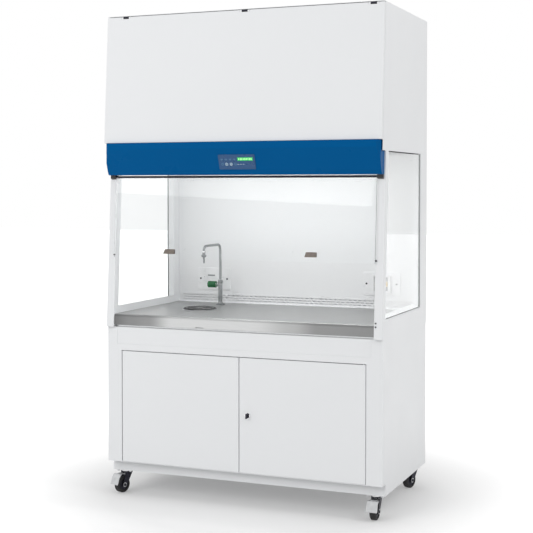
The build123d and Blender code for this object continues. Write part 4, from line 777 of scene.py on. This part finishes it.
def makeCasterDetail(plan):
    bolts, rings = bmesh.new(), bmesh.new()
    for corner, heading in plan["heads"].items():
        x = -plan["kingX"] if corner[1] == "l" else plan["kingX"]
        y = plan["frontY"] if corner[0] == "f" else plan["rearY"]
        king = Vector((x, y, 0))
        along = onCircle(1, math.radians(heading))
        across = Vector((along.y, -along.x, 0))
        axle = king + along * plan["trail"] + Vector((0, 0, plan["axleHeight"]))
        makePlateBolts(bolts, rings, king, plan)
        makeWheelDetail(corner, king, axle, across, wheelPlan)
        if corner in frontCorners:
            makePedalRibs(corner, king, along, across, pedalPlan)
    finishPiece(bolts, "caster_bolts", "cabinet", zincSteel)
    finishPiece(rings, "caster_race_rings", "cabinet", brightChrome, smooth=True)


makeCasterDetail(casterPlan)
print("casters dressed")

# tap: rings on the pillar, a collar under the spout and a cap on the grip
tapPlan = {"x": -0.348, "y": 0.223, "valve": 0.954, "spoutY": 0.031, "top": 0.853, "ringBore": 0.0090,
           "rings": ((0.0125, 0.0122), (0.1035, 0.0118), (0.1255, 0.0098)), "ringHalf": (0.0012, 0.0010),
           "swell": 0.0004, "valveOut": 0.0145, "valveRing": (0.0050, 0.0104), "valveHalf": (0.0014, 0.0012),
           "collarUp": 0.276,
           "collar": ((0.0064, -0.003), (0.0086, -0.003), (0.0092, -0.001), (0.0092, 0.0022),
                      (0.0064, 0.003)),
           "capOut": 0.0001, "cap": ((0.0, 0.0004), (0.0085, 0.0002), (0.0095, -0.0008), (0.0, -0.0012)),
           "gripOut": 0.0202,
           "gripRing": ((0.0100, -0.0008), (0.0122, -0.0006), (0.0122, 0.0006), (0.0100, 0.0008))}


def makeTapDetail(plan):
    rings, collar, cap = bmesh.new(), bmesh.new(), bmesh.new()
    x, y, top, valve = plan["x"], plan["y"], plan["top"], plan["valve"]
    swell = plan["swell"]
    leftward = (-1, 0, 0)
    for height, radius in plan["rings"]:
        ring = crownedRing(plan["ringBore"], radius, swell, *plan["ringHalf"])
        turned(rings, ring, (x, y, top + height), upright)
    ring = crownedRing(*plan["valveRing"], swell, *plan["valveHalf"])
    turned(rings, ring, (x - plan["valveOut"], y, valve), leftward)
    finishPiece(rings, "tap_rings", "cabinet", brightChrome, smooth=True)
    turned(collar, plan["collar"], (x, plan["spoutY"], top + plan["collarUp"]), upright)
    finishPiece(collar, "spout_collar", "spout", brightChrome, smooth=True)
    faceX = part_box("tap_handle")[0][0]
    turned(cap, plan["cap"], (faceX - plan["capOut"], y, valve), leftward)
    turned(cap, plan["gripRing"], (x - plan["gripOut"], y, valve), leftward)
    finishPiece(cap, "grip_cap", "tap_grip", brightChrome, smooth=True)


makeTapDetail(tapPlan)

# sink: a bead round the rim and a strainer with three bars in the outlet
sinkPlan = {"x": -0.348, "y": -0.016, "rim": 0.853, "floor": 0.769, "beadLift": 0.0001,
            "bead": ((0.0806, 0), (0.0832, 0), (0.0824, 0.0012), (0.0808, 0.002)), "strainerDrop": 0.001,
            "strainer": ((0.0125, -0.003), (0.0165, -0.003), (0.0210, 0.0006), (0.0210, 0.0014),
                         (0.0125, 0.0006)),
            "barCount": 3, "barDrop": 0.0015, "bar": (0.026, 0.0018, 0.0014), "barEdge": 0.0003}


def makeSinkDetail(plan):
    bead, strainer = bmesh.new(), bmesh.new()
    x, y, floorZ = plan["x"], plan["y"], plan["floor"]
    turned(bead, plan["bead"], (x, y, plan["rim"] + plan["beadLift"]), upright, sides=64)
    finishPiece(bead, "sink_bead", "cabinet", greyPvc, smooth=True)
    turned(strainer, plan["strainer"], (x, y, floorZ - plan["strainerDrop"]), upright, sides=40)
    for k in range(plan["barCount"]):
        turn = Matrix.Rotation(k * math.pi / plan["barCount"], 3, "Z")
        softBox(strainer, (x, y, floorZ - plan["barDrop"]), plan["bar"], plan["barEdge"], turn)
    finishPiece(strainer, "sink_strainer", "cabinet", satinMetal, smooth=True)


makeSinkDetail(sinkPlan)

# drain: two hose clips on the pipe, and grommets where the pipe and the tap's hose pass the back panel
drainPlan = {"clipHeights": (0.700, 0.725), "clip": (0.0231, 0.0240), "swell": 0.0003, "clipHalf": 0.0045,
             "housingOut": 0.026, "housing": (0.008, 0.009, 0.008), "housingEdge": 0.001,
             "worm": (0.0028, 0.005),
             "pipeZ": 0.667, "hoseShift": 0.120,
             "pipeLip": ((0.0232, -0.001), (0.0282, -0.001), (0.0282, 0.0012), (0.0262, 0.0024),
                         (0.0232, 0.0024)),
             "hoseLip": ((0.0122, 0), (0.0158, 0), (0.0158, 0.0012), (0.0145, 0.0022), (0.0122, 0.0022))}


def makeDrainDetail(plan):
    clips, grommets = bmesh.new(), bmesh.new()
    x, y, half = sinkPlan["x"], sinkPlan["y"], plan["clipHalf"]
    housingX = x - plan["housingOut"]
    clip = crownedRing(*plan["clip"], plan["swell"], half, half)
    for height in plan["clipHeights"]:
        turned(clips, clip, (x, y, height), upright, sides=40)
        softBox(clips, (housingX, y, height), plan["housing"], plan["housingEdge"])
        disc(clips, (housingX, y - plan["housing"][1] / 2, height), forward, *plan["worm"], sides=6)
    finishPiece(clips, "drain_clips", "cabinet", zincSteel)
    turned(grommets, plan["pipeLip"], (x, backY, plan["pipeZ"]), backward, sides=40)
    turned(grommets, plan["hoseLip"], (x + plan["hoseShift"], backY, plan["pipeZ"]), backward)
    finishPiece(grommets, "pipe_grommets", "cabinet", blackRubber, smooth=True)


makeDrainDetail(drainPlan)
print("tap and sink dressed")

# doors: inner stiffeners and bump stops; lock: the line on its knob
doorPlan = {"inner": -0.325, "ribX": (0.15, 0.44), "ribZ": 0.422, "rib": (0.05, 0.006, 0.40),
            "ribEdge": 0.0022, "stopX": 0.020, "stopZ": (0.19, 0.65), "stop": (0.005, 0.0025),
            "stopTip": 0.004}
lockPlan = {"x": 0.043, "z": 0.4225, "proud": 0.0001, "line": (0.0016, 0.0003, 0.012)}


def makeDoorDetail(plan):
    inner, rib = plan["inner"], plan["rib"]
    for side, body in ((-1, "left_door"), (1, "right_door")):
        ribs, stops = bmesh.new(), bmesh.new()
        for x in plan["ribX"]:
            softBox(ribs, (side * x, inner + rib[1] / 2, plan["ribZ"]), rib, plan["ribEdge"])
        finishPiece(ribs, "door_ribs_" + body, body, whiteInner)
        for z in plan["stopZ"]:
            disc(stops, (side * plan["stopX"], inner, z), backward, *plan["stop"], sides=16,
                 tip=plan["stopTip"])
        finishPiece(stops, "door_stops_" + body, body, blackRubber)


def makeLockLine(plan):
    line = bmesh.new()
    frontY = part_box("lock_knob")[0][1]
    softBox(line, (plan["x"], frontY - plan["proud"], plan["z"]), plan["line"])
    finishPiece(line, "lock_line", "lock", blackMoulding)


makeDoorDetail(doorPlan)
makeLockLine(lockPlan)

# filters: a rim on the main filter, gaskets along its foot and two pull handles on its front
headMidY = 0.033
filterPlan = {"deck": 1.642, "top": 1.772, "half": (0.595, 0.27), "rim": 0.018, "rimThick": 0.0012,
              "rimEdge": 0.0003, "gasketOut": 0.001, "gasketUp": 0.0235, "gasket": (0.0025, 0.007),
              "gasketEdge": 0.0008, "handleX": 0.32, "handleUp": 0.07, "strap": (0.03, 0.0024, 0.06),
              "strapEdge": 0.0008, "grip": (0.10, 0.006, 0.012), "gripEdge": 0.002}


def makeFilterDetail(plan):
    rims, gaskets, handles = bmesh.new(), bmesh.new(), bmesh.new()
    hx, hy = plan["half"]
    rim, thick, strap, grip = plan["rim"], plan["rimThick"], plan["strap"], plan["grip"]
    rimZ = plan["top"] + thick / 2
    handleZ = plan["deck"] + plan["handleUp"]
    faceY = headMidY - hy
    for side in (-1, 1):
        softBox(rims, (0, headMidY + side * (hy - rim / 2), rimZ), (2 * hx, rim, thick), plan["rimEdge"])
        softBox(rims, (side * (hx - rim / 2), headMidY, rimZ), (rim, 2 * (hy - rim), thick), plan["rimEdge"])
        gasketY = headMidY + side * (hy + plan["gasketOut"])
        softBox(gaskets, (0, gasketY, plan["deck"] + plan["gasketUp"]), (2 * hx, *plan["gasket"]),
                plan["gasketEdge"])
        softBox(handles, (side * plan["handleX"], faceY - strap[1] / 2, handleZ), strap, plan["strapEdge"])
        softBox(handles, (side * plan["handleX"], faceY - grip[1], handleZ), grip, plan["gripEdge"])
    finishPiece(rims, "filter_rim", "cabinet", zincSteel)
    finishPiece(gaskets, "filter_gasket", "cabinet", gasketFoam)
    finishPiece(handles, "filter_handles", "cabinet", blackMoulding)


# motor: four bolts into the bridge and a terminal box with its gland
motorPlan = {"boltCount": 4, "boltReach": (0.035, 0.024), "washer": (0.0075, 0.0008), "head": (0.0055, 0.004),
             "boxOut": 0.076, "boxDrop": 0.042, "box": (0.062, 0.022, 0.046), "boxEdge": 0.003,
             "glandDrop": 0.065, "gland": (0.008, 0.010)}


def makeMotorDetail(plan):
    bolts, terminals = bmesh.new(), bmesh.new()
    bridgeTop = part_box("fan_deck")[1][2]
    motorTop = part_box("fan_motor")[1][2]
    reachX, reachY = plan["boltReach"]
    washerRadius, washerLength = plan["washer"]
    for k in range(plan["boltCount"]):
        corner = onCircle(1, (k + 0.5) * math.tau / plan["boltCount"])
        x, y = reachX * corner.x, headMidY + reachY * corner.y
        disc(bolts, (x, y, bridgeTop), upright, washerRadius, washerLength)
        disc(bolts, (x, y, bridgeTop + washerLength), upright, *plan["head"], sides=6)
    finishPiece(bolts, "motor_bolts", "cabinet", zincSteel)
    boxY = headMidY - plan["boxOut"]
    softBox(terminals, (0, boxY, motorTop - plan["boxDrop"]), plan["box"], plan["boxEdge"])
    disc(terminals, (0, boxY, motorTop - plan["glandDrop"]), downward, *plan["gland"], sides=16)
    finishPiece(terminals, "motor_terminal_box", "cabinet", blackMoulding)


# fan wheel: a cap under its hub and a rivet under the shroud ring for each blade
fanPlan = {"capDrop": 0.0372,
           "cap": ((0.0, -0.0006), (0.026, 0.0), (0.030, 0.0012), (0.030, 0.003), (0.0, 0.003)),
           "blades": 9, "rivetStart": 0.1, "rivetCircle": 0.16, "rivet": (0.0035, 0.0012)}


def makeFanDetail(plan):
    bm = bmesh.new()
    wheelLow, wheelTop = (c[2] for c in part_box("fan_wheel"))
    turned(bm, plan["cap"], (0, headMidY, wheelTop - plan["capDrop"]), upright, sides=40)
    for k in range(plan["blades"]):
        spot = onCircle(plan["rivetCircle"], k * math.tau / plan["blades"] + plan["rivetStart"])
        disc(bm, spot + Vector((0, headMidY, wheelLow)), downward, *plan["rivet"], sides=10)
    finishPiece(bm, "fan_rivets", "fan", zincSteel, smooth=True)


# a socket block at each end of the lamp
lampEnd = {"size": (0.012, 0.064, 0.031), "edge": 0.004}


def makeLampEnds(plan):
    ends = bmesh.new()
    low, high = (Vector(c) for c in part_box("lamp"))
    middle = (low + high) / 2
    for side in (-1, 1):
        x = side * (high.x + plan["size"][0] / 2)
        softBox(ends, (x, middle.y, middle.z), plan["size"], plan["edge"])
    finishPiece(ends, "lamp_ends", "cabinet", socketWhite)


makeFilterDetail(filterPlan)
makeMotorDetail(motorPlan)
makeFanDetail(fanPlan)
makeLampEnds(lampEnd)
print("inside of the head dressed")

# top grille: raised rim round the exhaust slots and a wire guard under them
grillePlan = {"half": (0.4585, 0.194), "top": 2.236, "rim": (0.008, 0.0016), "rimLift": 0.0004,
              "rimEdge": 0.0005, "wireCount": 9, "wirePitch": 0.044, "wireDrop": 0.0035, "wire": 0.0016,
              "wireEdge": 0.0004}


def makeGrille(plan):
    rims, guard = bmesh.new(), bmesh.new()
    hx, hy = plan["half"]
    rim, thick = plan["rim"]
    rimZ = plan["top"] + plan["rimLift"]
    for side in (-1, 1):
        across = (2 * (hx + rim), rim, thick)
        softBox(rims, (0, headMidY + side * (hy + rim / 2), rimZ), across, plan["rimEdge"])
        softBox(rims, (side * (hx + rim / 2), headMidY, rimZ), (rim, 2 * hy, thick), plan["rimEdge"])
    wire = plan["wire"]
    firstWire = headMidY - plan["wirePitch"] * (plan["wireCount"] - 1) / 2
    for k in range(plan["wireCount"]):
        wireY = firstWire + plan["wirePitch"] * k
        softBox(guard, (0, wireY, plan["top"] - plan["wireDrop"]), (2 * hx, wire, wire), plan["wireEdge"])
    finishPiece(rims, "grille_rim", "cabinet", whitePaint)
    finishPiece(guard, "grille_guard", "cabinet", zincSteel)


makeGrille(grillePlan)

# sash: two screws and a pad behind each pull, in the plane of the leaning pane
sashPlan = {"lean": 3.8, "spread": 0.344, "proud": 0.0001, "drop": 0.011, "screwShift": 0.016,
            "screwIn": 0.0076, "screw": (0.0042, 0.0014), "screwTip": 0.003, "padIn": 0.0066,
            "pad": (0.048, 0.020, 0.0010), "padEdge": 0.0003}


def makeSashDetail(plan):
    screws, pads = bmesh.new(), bmesh.new()
    lean = math.radians(plan["lean"])
    outward = Vector((0, -math.cos(lean), math.sin(lean)))
    upward = Vector((0, math.sin(lean), math.cos(lean)))
    turn = Matrix((Vector((1, 0, 0)), upward, outward)).transposed()
    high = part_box("sash_pulls")[1]
    middle = Vector((0, high[1], high[2])) + outward * plan["proud"] - upward * plan["drop"]
    for side in (-1, 1):
        x = side * plan["spread"]
        for dx in (-plan["screwShift"], plan["screwShift"]):
            spot = middle + Vector((x + dx, 0, 0)) - outward * plan["screwIn"]
            disc(screws, spot, -outward, *plan["screw"], sides=18, tip=plan["screwTip"])
        spot = middle + Vector((x, 0, 0)) - outward * plan["padIn"]
        softBox(pads, spot, plan["pad"], plan["padEdge"], turn)
    finishPiece(screws, "pull_screws", "sash", brightChrome)
    finishPiece(pads, "pull_pads", "sash", gasketFoam)


makeSashDetail(sashPlan)
print("sash dressed")
